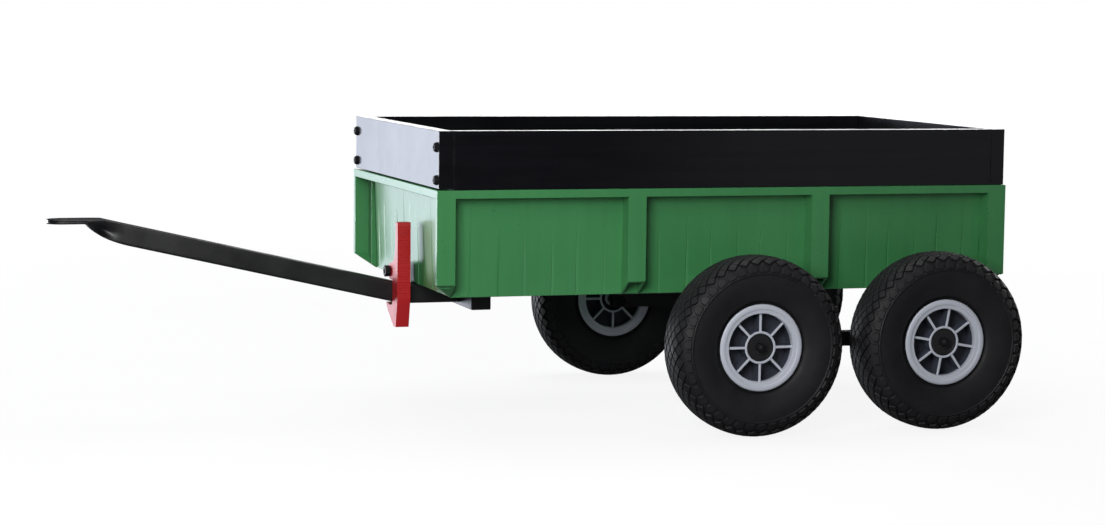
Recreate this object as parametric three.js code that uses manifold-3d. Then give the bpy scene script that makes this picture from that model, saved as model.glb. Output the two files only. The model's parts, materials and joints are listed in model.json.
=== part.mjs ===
// Tandem-axle tipping trailer for a ride-on pedal tractor.
// Millimetres, +Z up, -X towards the hitch tongue, Y across the trailer.
// The model is laid out from the outer face of the front board (X = 0), the
// centre plane (Y = 0) and the ground (Z = 0), then shifted so that the origin
// is below the middle of the whole trailer.
import * as THREE from 'three';
import { mergeVertices } from 'three/addons/utils/BufferGeometryUtils.js';
import Module from 'manifold-3d';

const wasm = await Module();
wasm.setup();

// ---------------------------------------------------------------- sizes
const GAP = 0.3;                    // left between pieces that touch

// wheels: 3.00-4 pneumatic tyres on four-inch moulded rims
const TYRE_RADIUS = 130;
const TYRE_HALF_WIDTH = 37.5;
const WHEEL_TRACK = 640;
const WHEELBASE = 287;
const FRONT_AXLE_X = 448;
const WHEEL_SEGMENTS = 20;
const RIM_RADIUS = 62.5;
const RIM_SEAT_RADIUS = 52;
const RIM_INNER_RADIUS = 48.5;
const RIM_HALF_WIDTH = 31;
const SPOKE_COUNT = 8;
const SPOKE_THICKNESS = 4;
const SPOKE_HALF_WIDTH = 25;
const HUB_RING_RADIUS = 23.5;
const HUB_RING_BORE = 20;
const HUB_HALF_WIDTH = 26;
const BEARING_RADIUS = 8.5;
const BEARING_SEGMENTS = 12;
const STUB_RADIUS = 6;
const STUB_HEAD_RADIUS = 10;
const THREAD_RADIUS = 4;
const NUT_RADIUS = 7.5;
const NUT_Y = [24.5, 30.5];

// rocking bogies
const PIVOT_X = FRONT_AXLE_X + WHEELBASE / 2;
const AXLE_Z = TYRE_RADIUS;
const BEAM_INNER_Y = 259;
const BEAM_OUTER_Y = 279;
const BEAM_HEIGHT = 21;
const BEAM_WALL = 2.5;
const BEAM_OVERHANG = 12;
const BOGIE_AXLE_RADIUS = 8;
const BOGIE_BUSH_RADIUS = 11;

// tub
const TUB_FRONT_X = -3;
const TUB_REAR_X = 877;
const TUB_HALF_WIDTH = 252;
const TUB_TOP = 351;
const TUB_BOTTOM = 197;
const TUB_WALL = 3.5;
const RIM_BAND = 12;
const RIM_LIP = 3;
const INSET_TOP = 25;               // wall behind the outer edge of the rim
const INSET_BOTTOM = 30;
const POST_FOOT_Z = 218;            // below this the posts are cut back to the wall
const POST_WALL = 3;
const POST_WIDTH = 27.5;
const MID_POSTS_X = [280, 564];
const CORNER_FIN = 10;
const GROOVE_WIDTH = 1.6;
const GROOVE_DEPTH = 1;
const GROOVE_PITCH = 39.3;
const GROOVE_FIRST = 31;            // from a bay's edge to its first groove

// extension boards
const BOARD_LENGTH = 874;
const BOARD_HALF_WIDTH = 249;
const FRONT_BOARD_BOTTOM = TUB_TOP + 2;
const BOARD_BOTTOM = TUB_TOP + GAP;
const BOARD_TOP = 434;
const BOARD_THICKNESS = 21;
const SCREW_Z = [365, 411];
const SCREW_FROM_SIDE = 9.5;
const SCREW_HEAD_RADIUS = 7.5;
const SCREW_HEAD_HEIGHT = 5.5;
const SCREW_SHANK_RADIUS = 2.5;
const SCREW_LENGTH = 50;
const FLUSH_HEAD_RADIUS = 5;
const FLUSH_HEAD_DEPTH = 3.2;         // the rear screws sit in counterbores
const SIDE_BOARD_THICKNESS = 20;
const STRAP_THICKNESS = 3;
const STRAP_HALF_WIDTH = 14;
const STRAP_Z = [301, 414];

// chassis
const TONGUE_TIP_X = -512;
const TONGUE_TOP = 298;
const TONGUE_THICKNESS = 6.5;
const TONGUE_HALF_WIDTH = 22.5;
const HITCH_HOLE_RADIUS = 6.5;
const TUBE = 30;
const TUBE_WALL = 2;
const TUBE_SLOPE = 0.2288;          // fall of the drawbar per unit of length
const FLAT_END_X = -457;            // the tongue is a flat plate up to here
const PRESS_END_X = -392;           // and a full tube from here
const DRAWBAR_BEND_X = 10.2;
const FRAME_TOP = TUB_BOTTOM - 2 * GAP;
const CROSSBAR_X = [97, 127];
const CROSSBAR_HALF_LENGTH = 80;
const CROSSBAR_BOTTOM = 161.5;
const SPINE_HALF_WIDTH = 20;
const SPINE_HEIGHT = 20;
const CARRIER_HALF_LENGTH = 200;
const CARRIER_TUBE = [35, 25];      // along X and up
const CARRIER_PLATE = 5;
const CARRIER_FOOT_RADIUS = 15;
const AXLE_CAP_RADIUS = 9.5;
const HINGE_X = 650;
const HINGE_PIN_RADIUS = 5;
const HINGE_PIN_HALF_LENGTH = 88;
const LUG_Y = [68, 80];
const LUG_HALF_LENGTH = 22;
const LUG_RADIUS = 9.2;

// latch
const LATCH_FRONT_X = -7;
const LATCH_BACK_X = 13;
const LATCH_PIVOT_Z = 214;
const LATCH_BOSS_RADIUS = 12;
const LATCH_BOLT_RADIUS = 4;
const LATCH_HEAD_RADIUS = 8.5;
const LATCH_HEAD_HEIGHT = 8.5;
const BRACKET_THICKNESS = 6.7;
const BRACKET_Z = [172, 227];
const BRACKET_LEG = 4;
const BRACKET_TOP_HALF_WIDTH = 11;

// whole trailer, for placing the origin
const REAR_MOST_X = TUB_REAR_X;

// ---------------------------------------------------------------- helpers
const trailer = new THREE.Group();
trailer.position.x = -(TONGUE_TIP_X + REAR_MOST_X) / 2;

const FINISHES = {
  green_plastic: { color: 0x4a8a5a, roughness: 0.42, metalness: 0 },
  board_black: { color: 0x17171a, roughness: 0.35, metalness: 0 },
  black_steel: { color: 0x1c1c20, roughness: 0.4, metalness: 0.2 },
  red_plastic: { color: 0xb92630, roughness: 0.4, metalness: 0 },
  rim_grey: { color: 0x9a9fae, roughness: 0.45, metalness: 0 },
  tyre_rubber: { color: 0x232325, roughness: 0.85, metalness: 0 },
  tube_rubber: { color: 0x1a1a1a, roughness: 0.7, metalness: 0 },
  black_plastic: { color: 0x1b1b1d, roughness: 0.5, metalness: 0 },
  nylon: { color: 0xd9d6cc, roughness: 0.5, metalness: 0 },
  zinc: { color: 0xa9abb0, roughness: 0.35, metalness: 0.9 },
};

function add(name, geometry, finish, parent = trailer) {
  const mesh = new THREE.Mesh(geometry, new THREE.MeshStandardMaterial(FINISHES[finish]));
  mesh.name = name;
  parent.add(mesh);
  return mesh;
}

// A closed three.js geometry as a solid for joining and cutting.
function solid(geometry) {
  const bare = geometry.index ? geometry.toNonIndexed() : geometry.clone();
  bare.deleteAttribute('normal');
  bare.deleteAttribute('uv');
  const merged = mergeVertices(bare, 1e-3);
  return new wasm.Manifold(new wasm.Mesh({
    numProp: 3,
    vertProperties: new Float32Array(merged.attributes.position.array),
    triVerts: new Uint32Array(merged.index.array),
  }));
}

function surface(manifold) {
  const mesh = manifold.getMesh();
  const geometry = new THREE.BufferGeometry();
  geometry.setAttribute('position', new THREE.BufferAttribute(mesh.vertProperties, 3));
  geometry.setIndex(new THREE.BufferAttribute(mesh.triVerts, 1));
  geometry.computeVertexNormals();
  return geometry;
}

function join(pieces) {
  return pieces.reduce((whole, piece) => whole.add(piece));
}

function cut(whole, cutters) {
  return cutters.reduce((rest, cutter) => rest.subtract(cutter), whole);
}

function box([x0, x1], [y0, y1], [z0, z1]) {
  const geometry = new THREE.BoxGeometry(x1 - x0, y1 - y0, z1 - z0);
  return geometry.translate((x0 + x1) / 2, (y0 + y1) / 2, (z0 + z1) / 2);
}

// A block whose footprint changes evenly from its bottom to its top.
function taperedBlock(bottom, top, [z0, z1]) {
  const geometry = new THREE.BoxGeometry(1, 1, 1);
  const position = geometry.attributes.position;
  for (let i = 0; i < position.count; i += 1) {
    const footprint = position.getZ(i) < 0 ? bottom : top;
    const x = footprint.x[position.getX(i) < 0 ? 0 : 1];
    const y = footprint.y[position.getY(i) < 0 ? 0 : 1];
    position.setXYZ(i, x, y, position.getZ(i) < 0 ? z0 : z1);
  }
  return geometry;
}

// A cylinder along Y or X with a vertex at its lowest point.
function rod(radius, axis, [from, to], segments = 16) {
  const geometry = new THREE.CylinderGeometry(radius, radius, to - from, segments);
  geometry.translate(0, (from + to) / 2, 0);
  if (axis === 'x') {
    geometry.rotateZ(-Math.PI / 2);
  }
  return geometry;
}

// Outline in X and Z, extruded across Y.
function sideProfile(shape, [y0, y1], curveSegments = 8) {
  const geometry = new THREE.ExtrudeGeometry(shape, {
    depth: y1 - y0, bevelEnabled: false, curveSegments,
  });
  return geometry.rotateX(Math.PI / 2).translate(0, y1, 0);
}

// Outline in Y and Z, extruded along X.
function frontProfile(shape, [x0, x1], curveSegments = 8) {
  const geometry = new THREE.ExtrudeGeometry(shape, {
    depth: x1 - x0, bevelEnabled: false, curveSegments,
  });
  const turn = new THREE.Matrix4().makeBasis(
    new THREE.Vector3(0, 1, 0), new THREE.Vector3(0, 0, 1), new THREE.Vector3(1, 0, 0));
  return geometry.applyMatrix4(turn).translate(x0, 0, 0);
}

function polygon(points) {
  return new THREE.Shape(points.map(([a, b]) => new THREE.Vector2(a, b)));
}

// Solid of revolution about Y from [radius, y] pairs.
function turned(profile, segments = BEARING_SEGMENTS) {
  return new THREE.LatheGeometry(profile.map(([r, y]) => new THREE.Vector2(r, y)), segments);
}

// Radius of a faceted hole whose flats clear a shaft by the given amount.
function boreRadius(shaftRadius, clearance, segments = BEARING_SEGMENTS) {
  return (shaftRadius + clearance) / Math.cos(Math.PI / segments);
}

// ---------------------------------------------------------------- tub
function tubFootprint(inset) {
  return {
    x: [TUB_FRONT_X + inset, TUB_REAR_X - inset],
    y: [-TUB_HALF_WIDTH + inset, TUB_HALF_WIDTH - inset],
  };
}

function tubWallSolid() {
  return solid(taperedBlock(
    tubFootprint(INSET_BOTTOM), tubFootprint(INSET_TOP), [TUB_BOTTOM, TUB_TOP]));
}

function tubCavity() {
  return solid(taperedBlock(
    tubFootprint(INSET_BOTTOM + TUB_WALL), tubFootprint(INSET_TOP + TUB_WALL),
    [TUB_BOTTOM + TUB_WALL, TUB_TOP + 1]));
}

// The rim is a flange with a lip turned down outside it.
function tubRim() {
  const outer = tubFootprint(0);
  const inside = tubFootprint(RIM_LIP);
  const flange = solid(box(outer.x, outer.y, [TUB_TOP - RIM_BAND, TUB_TOP]));
  const underside = [TUB_TOP - RIM_BAND - 1, TUB_TOP - TUB_WALL];
  return flange.subtract(solid(box(inside.x, inside.y, underside)));
}

// A hollow post, open at its foot, between the wall and the rim's outer edge.
function middlePost(x, side) {
  const wallY = TUB_HALF_WIDTH - INSET_BOTTOM - 1;
  const ends = [side * wallY, side * TUB_HALF_WIDTH].sort((a, b) => a - b);
  const inner = [side * (wallY - 1), side * (TUB_HALF_WIDTH - POST_WALL)].sort((a, b) => a - b);
  const outer = solid(box([x, x + POST_WIDTH], ends, [TUB_BOTTOM, TUB_TOP - 1]));
  const hollow = solid(box(
    [x + POST_WALL, x + POST_WIDTH - POST_WALL], inner, [TUB_BOTTOM - 1, TUB_TOP - RIM_BAND]));
  return outer.subtract(hollow);
}

// A corner is the end wall carried out to the side, with a hollow fin in front.
// Its foot is a sheet as thick as the fin, sloping in to the wall.
function cornerPost(end, side) {
  const edgeX = end < 0 ? TUB_FRONT_X : TUB_REAR_X;
  const along = (near, far) => [edgeX - end * near, edgeX - end * far].sort((a, b) => a - b);
  const across = (near, far) => [side * near, side * far].sort((a, b) => a - b);
  const finInner = TUB_HALF_WIDTH - CORNER_FIN;
  const height = [TUB_BOTTOM, TUB_TOP - 1];
  const fin = solid(box(along(0, POST_WIDTH), across(finInner, TUB_HALF_WIDTH), height));
  const footOuter = TUB_HALF_WIDTH - INSET_BOTTOM + 1;
  const foot = solid(frontProfile(polygon([
    [side * finInner, POST_FOOT_Z + 1], [side * TUB_HALF_WIDTH, POST_FOOT_Z + 1],
    [side * TUB_HALF_WIDTH, POST_FOOT_Z], [side * footOuter, TUB_BOTTOM],
    [side * (footOuter - CORNER_FIN), TUB_BOTTOM], [side * finInner, POST_FOOT_Z],
  ]), along(0, POST_WIDTH)));
  const wallY = TUB_HALF_WIDTH - INSET_BOTTOM;
  const web = solid(box(
    along(POST_WIDTH - 6, POST_WIDTH), across(wallY - 2, TUB_HALF_WIDTH), height));
  const tie = solid(box(
    along(POST_WIDTH - 1, INSET_BOTTOM + 2), across(wallY - 2, wallY + 0.3), height));
  const hollow = solid(box(
    along(POST_WALL, POST_WIDTH - 6), across(finInner + 2.5, TUB_HALF_WIDTH - 2.5),
    [TUB_BOTTOM - 1, TUB_TOP - RIM_BAND]));
  return fin.add(web).add(tie).add(foot).subtract(hollow);
}

// Everything outside this is cut from the posts, so their feet slope to the wall.
function postEnvelope() {
  const foot = solid(taperedBlock(
    tubFootprint(INSET_BOTTOM - 1), tubFootprint(0), [TUB_BOTTOM, POST_FOOT_Z]));
  const full = tubFootprint(0);
  return foot.add(solid(box(full.x, full.y, [POST_FOOT_Z, TUB_TOP])));
}

// A plank line: a shallow groove that follows the slope of a wall.
function groove(at, end, alongX) {
  const halfWidth = GROOVE_WIDTH / 2;
  const reach = (inset) => {
    const size = alongX ? TUB_HALF_WIDTH : (TUB_REAR_X - TUB_FRONT_X) / 2;
    const centre = alongX ? 0 : (TUB_REAR_X + TUB_FRONT_X) / 2;
    const wall = size - inset;
    return [centre + end * (wall - GROOVE_DEPTH), centre + end * (wall + 3)].sort((a, b) => a - b);
  };
  const footprint = (inset) => (alongX
    ? { x: [at - halfWidth, at + halfWidth], y: reach(inset) }
    : { x: reach(inset), y: [at - halfWidth, at + halfWidth] });
  return solid(taperedBlock(
    footprint(INSET_BOTTOM), footprint(INSET_TOP), [TUB_BOTTOM - 0.01, TUB_TOP - RIM_BAND]));
}

function plankGrooves() {
  const grooves = [];
  const bays = [TUB_FRONT_X, ...MID_POSTS_X].map((x) => x + POST_WIDTH);
  for (const side of [-1, 1]) {
    for (const bay of bays) {
      for (let i = 0; i < 6; i += 1) {
        grooves.push(groove(bay + GROOVE_FIRST + i * GROOVE_PITCH, side, true));
      }
    }
    for (let i = -5; i <= 5; i += 1) {
      grooves.push(groove(i * GROOVE_PITCH, side, false));
    }
  }
  return grooves;
}

function addTub() {
  const posts = [];
  for (const side of [-1, 1]) {
    posts.push(cornerPost(-1, side), cornerPost(1, side));
    MID_POSTS_X.forEach((x) => posts.push(middlePost(x, side)));
  }
  const shaped = join(posts).intersect(postEnvelope());
  const wall = cut(tubWallSolid(), plankGrooves());
  const tub = join([wall, tubRim(), shaped]).subtract(tubCavity());
  add('tub', surface(tub), 'green_plastic');
}

// ---------------------------------------------------------------- boards
function screwPositions(end) {
  const positions = [];
  for (const side of [-1, 1]) {
    for (const z of SCREW_Z) {
      positions.push({ side, z, y: side * (BOARD_HALF_WIDTH - SCREW_FROM_SIDE), end });
    }
  }
  return positions;
}

function endBoard(name, end) {
  const inner = end < 0 ? 0 : BOARD_LENGTH - BOARD_THICKNESS;
  const along = [inner, inner + BOARD_THICKNESS];
  const bottom = end < 0 ? FRONT_BOARD_BOTTOM : BOARD_BOTTOM;
  const board = solid(box(along, [-BOARD_HALF_WIDTH, BOARD_HALF_WIDTH], [bottom, BOARD_TOP]));
  const holes = screwPositions(end).map(({ y, z }) => solid(
    rod(SCREW_SHANK_RADIUS + 0.5, 'x', [along[0] - 1, along[1] + 1], 8).translate(0, y, z)));
  if (end > 0) {
    const counterbore = [along[1] - FLUSH_HEAD_DEPTH, along[1] + 1];
    screwPositions(end).forEach(({ y, z }) => holes.push(solid(
      rod(FLUSH_HEAD_RADIUS + 0.5, 'x', counterbore, 10).translate(0, y, z))));
  }
  add(name, surface(cut(board, holes)), 'board_black');
}

function sideBoard(name, side) {
  const along = [BOARD_THICKNESS + GAP, BOARD_LENGTH - BOARD_THICKNESS - GAP];
  const faces = [BOARD_HALF_WIDTH - SIDE_BOARD_THICKNESS, BOARD_HALF_WIDTH];
  const across = faces.map((y) => side * y).sort((a, b) => a - b);
  const board = solid(box(along, across, [BOARD_BOTTOM, BOARD_TOP]));
  const y = side * (BOARD_HALF_WIDTH - SCREW_FROM_SIDE);
  const pilots = [];
  for (const z of SCREW_Z) {
    const reach = SCREW_LENGTH + 1;
    for (const [from, to] of [[along[0] - 1, reach], [BOARD_LENGTH - reach, along[1] + 1]]) {
      pilots.push(solid(rod(SCREW_SHANK_RADIUS + GAP, 'x', [from, to], 8).translate(0, y, z)));
    }
  }
  add(name, surface(cut(board, pilots)), 'board_black');
}

// A plain shank along +Y from the board's face, under a dome or a sunk flat head.
function screwGeometry(end) {
  const dome = [[0, -SCREW_HEAD_HEIGHT], [4, -5], [6.5, -3.2], [SCREW_HEAD_RADIUS, -GAP]];
  const seat = FLUSH_HEAD_DEPTH - GAP;
  const flat = [[0, 0.2], [FLUSH_HEAD_RADIUS, 0.2], [FLUSH_HEAD_RADIUS, seat]];
  const shank = [
    [SCREW_SHANK_RADIUS, end < 0 ? -GAP : seat],
    [SCREW_SHANK_RADIUS, SCREW_LENGTH - 4], [0, SCREW_LENGTH]];
  return turned([...(end < 0 ? dome : flat), ...shank], 10);
}

function addBoardScrews() {
  for (const end of [-1, 1]) {
    screwPositions(end).forEach(({ side, z, y }) => {
      const level = z === SCREW_Z[0] ? 'lower' : 'upper';
      const name = `${end < 0 ? 'front' : 'rear'}_screw_${side < 0 ? 'left' : 'right'}_${level}`;
      const screw = add(name, screwGeometry(end), 'black_plastic');
      screw.rotation.z = end < 0 ? -Math.PI / 2 : Math.PI / 2;
      screw.position.set(end < 0 ? 0 : BOARD_LENGTH, y, z);
    });
  }
}

// A flat steel strap inside each side that ties its board to the tub's wall.
function boardStrap(name, side) {
  const boardFace = BOARD_HALF_WIDTH - SIDE_BOARD_THICKNESS - GAP;
  const tubFace = TUB_HALF_WIDTH - INSET_TOP - TUB_WALL - 2.4;
  const outline = [
    [boardFace, STRAP_Z[1]], [boardFace - STRAP_THICKNESS, STRAP_Z[1]],
    [boardFace - STRAP_THICKNESS, TUB_TOP + 6], [tubFace - STRAP_THICKNESS, TUB_TOP - 1],
    [tubFace - STRAP_THICKNESS, STRAP_Z[0]], [tubFace, STRAP_Z[0]],
    [tubFace, TUB_TOP - 2], [boardFace, TUB_TOP + 5],
  ];
  const mirrored = side < 0 ? outline.map(([y, z]) => [-y, z]) : outline;
  const middle = (TUB_FRONT_X + TUB_REAR_X) / 2;
  const along = [middle - STRAP_HALF_WIDTH, middle + STRAP_HALF_WIDTH];
  add(name, frontProfile(polygon(mirrored), along), 'black_steel');
}

// ---------------------------------------------------------------- chassis
// Upper line of the sloping tube.
function drawbarTop(x) {
  return FRAME_TOP + TUBE_SLOPE * (DRAWBAR_BEND_X - x);
}

const SLOPE_ANGLE = Math.atan(TUBE_SLOPE);
const SLOPED_DEPTH = TUBE / Math.cos(SLOPE_ANGLE);
const LOWER_BEND_X = DRAWBAR_BEND_X - TUBE * Math.tan(SLOPE_ANGLE / 2);

function drawbarSide() {
  const bottom = (x) => drawbarTop(x) - SLOPED_DEPTH;
  const topBendX = DRAWBAR_BEND_X - (TONGUE_TOP - FRAME_TOP) / TUBE_SLOPE;
  const end = CROSSBAR_X[0] - GAP;
  const swellX = FLAT_END_X + 16;
  const shape = new THREE.Shape();
  shape.moveTo(TONGUE_TIP_X, TONGUE_TOP - TONGUE_THICKNESS);
  shape.lineTo(FLAT_END_X, TONGUE_TOP - TONGUE_THICKNESS);
  shape.quadraticCurveTo(swellX, bottom(swellX), PRESS_END_X, bottom(PRESS_END_X));
  shape.lineTo(LOWER_BEND_X, FRAME_TOP - TUBE);
  shape.lineTo(end, FRAME_TOP - TUBE);
  shape.lineTo(end, FRAME_TOP);
  shape.lineTo(DRAWBAR_BEND_X, FRAME_TOP);
  shape.lineTo(topBendX, TONGUE_TOP);
  shape.lineTo(TONGUE_TIP_X, TONGUE_TOP);
  return shape;
}

function drawbarPlan() {
  const half = TUBE / 2;
  const tipCentre = TONGUE_TIP_X + TONGUE_HALF_WIDTH;
  const wide = TONGUE_HALF_WIDTH;
  const nearTube = PRESS_END_X - 28;
  const nearFlat = FLAT_END_X + 25;
  const shape = new THREE.Shape();
  shape.moveTo(CROSSBAR_X[1], -half);
  shape.lineTo(CROSSBAR_X[1], half);
  shape.lineTo(PRESS_END_X, half);
  shape.bezierCurveTo(nearTube, half, nearFlat, wide, FLAT_END_X, wide);
  shape.lineTo(tipCentre, wide);
  shape.absarc(tipCentre, 0, wide, Math.PI / 2, 1.5 * Math.PI, false);
  shape.lineTo(FLAT_END_X, -wide);
  shape.bezierCurveTo(nearFlat, -wide, nearTube, -half, PRESS_END_X, -half);
  const hole = new THREE.Path();
  hole.absarc(tipCentre, 0, HITCH_HOLE_RADIUS, 0, 2 * Math.PI, true);
  shape.holes.push(hole);
  return shape;
}

function drawbarBore() {
  const slant = TUBE_WALL / Math.cos(SLOPE_ANGLE);
  const start = PRESS_END_X + 2;
  const open = CROSSBAR_X[0] + 1;
  const shift = TUBE_WALL * Math.tan(SLOPE_ANGLE / 2);
  const outline = polygon([
    [start, drawbarTop(start) - slant], [start, drawbarTop(start) - SLOPED_DEPTH + slant],
    [LOWER_BEND_X + shift, FRAME_TOP - TUBE + TUBE_WALL], [open, FRAME_TOP - TUBE + TUBE_WALL],
    [open, FRAME_TOP - TUBE_WALL], [DRAWBAR_BEND_X - shift, FRAME_TOP - TUBE_WALL],
  ]);
  const half = TUBE / 2 - TUBE_WALL;
  return solid(sideProfile(outline, [-half, half]));
}

function addDrawbar() {
  const side = solid(sideProfile(drawbarSide(), [-40, 40]));
  const plan = solid(new THREE.ExtrudeGeometry(drawbarPlan(), {
    depth: 200, bevelEnabled: false, curveSegments: 8,
  }).translate(0, 0, 130));
  add('drawbar', surface(side.intersect(plan).subtract(drawbarBore())), 'black_steel');
}

function addCrossbar() {
  const across = [-CROSSBAR_HALF_LENGTH, CROSSBAR_HALF_LENGTH];
  add('front_crossbar', box(CROSSBAR_X, across, [CROSSBAR_BOTTOM, FRAME_TOP]), 'black_steel');
}

// The spine's rear end is rounded about the tub's hinge, so the tub can tip.
function addSpine() {
  const radius = SPINE_HEIGHT / 2;
  const z = FRAME_TOP - radius;
  const shape = new THREE.Shape();
  shape.moveTo(CROSSBAR_X[1] + GAP, z - radius);
  shape.lineTo(HINGE_X, z - radius);
  shape.absarc(HINGE_X, z, radius, -Math.PI / 2, Math.PI / 2, false);
  shape.lineTo(CROSSBAR_X[1] + GAP, z + radius);
  const spine = solid(sideProfile(shape, [-SPINE_HALF_WIDTH, SPINE_HALF_WIDTH]));
  const bore = solid(box(
    [CROSSBAR_X[1], HINGE_X - 20], [-SPINE_HALF_WIDTH + 2, SPINE_HALF_WIDTH - 2],
    [z - radius + 2, z + radius - 2]));
  const pinHole = solid(rod(HINGE_PIN_RADIUS + GAP, 'y', [-30, 30]).translate(HINGE_X, 0, z));
  add('chassis_spine', surface(cut(spine, [bore, pinHole])), 'black_steel');
}

// Welded carrier: a box tube under the spine with a plate down to the axle at each end.
function addAxleCarrier() {
  const top = FRAME_TOP - SPINE_HEIGHT - GAP;
  const tubeX = [PIVOT_X - CARRIER_TUBE[0] / 2, PIVOT_X + CARRIER_TUBE[0] / 2];
  const tubeZ = [top - CARRIER_TUBE[1], top];
  const half = CARRIER_HALF_LENGTH;
  const tube = solid(box(tubeX, [-half, half], tubeZ));
  const tubeBore = solid(box(
    [tubeX[0] + 2.5, tubeX[1] - 2.5], [-half - 10, half + 10], [tubeZ[0] + 2.5, tubeZ[1] - 2.5]));
  const plates = [-1, 1].map((side) => {
    const shape = new THREE.Shape();
    shape.moveTo(tubeX[0], top);
    shape.lineTo(tubeX[0], tubeZ[0]);
    shape.lineTo(PIVOT_X - CARRIER_FOOT_RADIUS, AXLE_Z);
    shape.absarc(PIVOT_X, AXLE_Z, CARRIER_FOOT_RADIUS, Math.PI, 2 * Math.PI, false);
    shape.lineTo(tubeX[1], tubeZ[0]);
    shape.lineTo(tubeX[1], top);
    const across = [side * half, side * (half + CARRIER_PLATE)].sort((a, b) => a - b);
    return solid(sideProfile(shape, across));
  });
  const axleHole = solid(
    rod(boreRadius(BOGIE_AXLE_RADIUS, GAP), 'y', [-half - 10, half + 10]).translate(PIVOT_X, 0, AXLE_Z));
  const carrier = join([tube, ...plates]);
  add('axle_carrier', surface(cut(carrier, [tubeBore, axleHole])), 'black_steel');
}

function addBogieAxle() {
  const half = BEAM_OUTER_Y + 2;
  add('bogie_axle', rod(BOGIE_AXLE_RADIUS, 'y', [-half, half]).translate(PIVOT_X, 0, AXLE_Z), 'zinc');
  for (const side of [-1, 1]) {
    const cap = turned([
      [0, 2 + GAP], [AXLE_CAP_RADIUS, 2 + GAP], [AXLE_CAP_RADIUS, 4.5], [7, 6.5], [0, 7],
    ]);
    const name = side < 0 ? 'axle_cap_left' : 'axle_cap_right';
    const mesh = add(name, cap, 'black_plastic');
    mesh.rotation.z = side < 0 ? Math.PI : 0;
    mesh.position.set(PIVOT_X, side * BEAM_OUTER_Y, AXLE_Z);
  }
}

// ---------------------------------------------------------------- tipping hinge
function addTippingHinge() {
  const z = FRAME_TOP - SPINE_HEIGHT / 2;
  const half = HINGE_PIN_HALF_LENGTH;
  add('hinge_pin', rod(HINGE_PIN_RADIUS, 'y', [-half, half]).translate(HINGE_X, 0, z), 'zinc');
  for (const side of [-1, 1]) {
    const shape = new THREE.Shape();
    shape.moveTo(HINGE_X - LUG_HALF_LENGTH, TUB_BOTTOM - GAP);
    shape.absarc(HINGE_X, z, LUG_RADIUS, 1.07 * Math.PI, 1.93 * Math.PI, false);
    shape.lineTo(HINGE_X + LUG_HALF_LENGTH, TUB_BOTTOM - GAP);
    const across = LUG_Y.map((y) => side * y).sort((a, b) => a - b);
    const hole = solid(rod(boreRadius(HINGE_PIN_RADIUS, 0.1), 'y', [-90, 90]).translate(HINGE_X, 0, z));
    const lug = solid(sideProfile(shape, across)).subtract(hole);
    add(side < 0 ? 'hinge_lug_left' : 'hinge_lug_right', surface(lug), 'black_steel');
  }
}

// ---------------------------------------------------------------- latch
// The lever stands beside the drawbar, with a boss on its pivot and a jaw below the tube.
// The jaw's upper face is an arc about the pivot, so it swings clear of the tube's corners.
function latchOutline() {
  const tubeSide = -TUBE / 2 - 1;
  const cornerRadius = Math.hypot(TUBE / 2, LATCH_PIVOT_Z - FRAME_TOP + TUBE);
  const jawRadius = cornerRadius + 2 * GAP;
  const jawAngle = Math.asin(-tubeSide / jawRadius);
  const shape = new THREE.Shape();
  shape.moveTo(-46, 290);
  shape.lineTo(-46.5, 176);
  shape.lineTo(-37, 134);
  shape.lineTo(-23, 134);
  shape.quadraticCurveTo(2, 147, 22, 162.5);
  shape.lineTo(22, FRAME_TOP - TUBE - 0.8);
  shape.absarc(0, LATCH_PIVOT_Z, jawRadius, jawAngle - Math.PI / 2, -jawAngle - Math.PI / 2, true);
  shape.lineTo(tubeSide, LATCH_PIVOT_Z - LATCH_BOSS_RADIUS);
  shape.lineTo(0, LATCH_PIVOT_Z - LATCH_BOSS_RADIUS);
  shape.absarc(0, LATCH_PIVOT_Z, LATCH_BOSS_RADIUS, -Math.PI / 2, Math.PI / 2, false);
  shape.quadraticCurveTo(-28, 228, -31, 248);
  shape.lineTo(-33.5, 290);
  const bore = new THREE.Path();
  bore.absarc(0, LATCH_PIVOT_Z, LATCH_BOLT_RADIUS + 0.25, 0, 2 * Math.PI, true);
  shape.holes.push(bore);
  return shape;
}

function addLatch() {
  add('latch_lever', frontProfile(latchOutline(), [LATCH_FRONT_X, LATCH_BACK_X]), 'red_plastic');
  const bracketX = [LATCH_BACK_X + GAP, LATCH_BACK_X + GAP + BRACKET_THICKNESS];
  const through = [bracketX[0] - 1, bracketX[1] + 1];
  const legs = TUBE / 2 + BRACKET_LEG;
  const [foot, top] = BRACKET_Z;
  const bracketShape = polygon([
    [-legs, foot], [-legs, LATCH_PIVOT_Z], [-BRACKET_TOP_HALF_WIDTH, top],
    [BRACKET_TOP_HALF_WIDTH, top], [legs, LATCH_PIVOT_Z], [legs, foot],
  ]);
  const slotSide = TUBE / 2 + GAP;
  const tubeSlot = solid(box(through, [-slotSide, slotSide], [foot - 1, FRAME_TOP + GAP]));
  const boltHole = solid(
    rod(LATCH_BOLT_RADIUS + GAP, 'x', through).translate(0, 0, LATCH_PIVOT_Z));
  const bracket = cut(solid(frontProfile(bracketShape, bracketX)), [tubeSlot, boltHole]);
  add('latch_bracket', surface(bracket), 'black_steel');
  const shankLength = bracketX[1] - LATCH_FRONT_X + 3;
  const bolt = add('latch_bolt', turned([
    [0, -LATCH_HEAD_HEIGHT], [LATCH_HEAD_RADIUS - 1.5, -LATCH_HEAD_HEIGHT],
    [LATCH_HEAD_RADIUS, 1.5 - LATCH_HEAD_HEIGHT], [LATCH_HEAD_RADIUS, -GAP],
    [LATCH_BOLT_RADIUS, -GAP], [LATCH_BOLT_RADIUS, shankLength], [0, shankLength],
  ]), 'black_plastic');
  bolt.rotation.z = -Math.PI / 2;
  bolt.position.set(LATCH_FRONT_X, 0, LATCH_PIVOT_Z);
}

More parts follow.
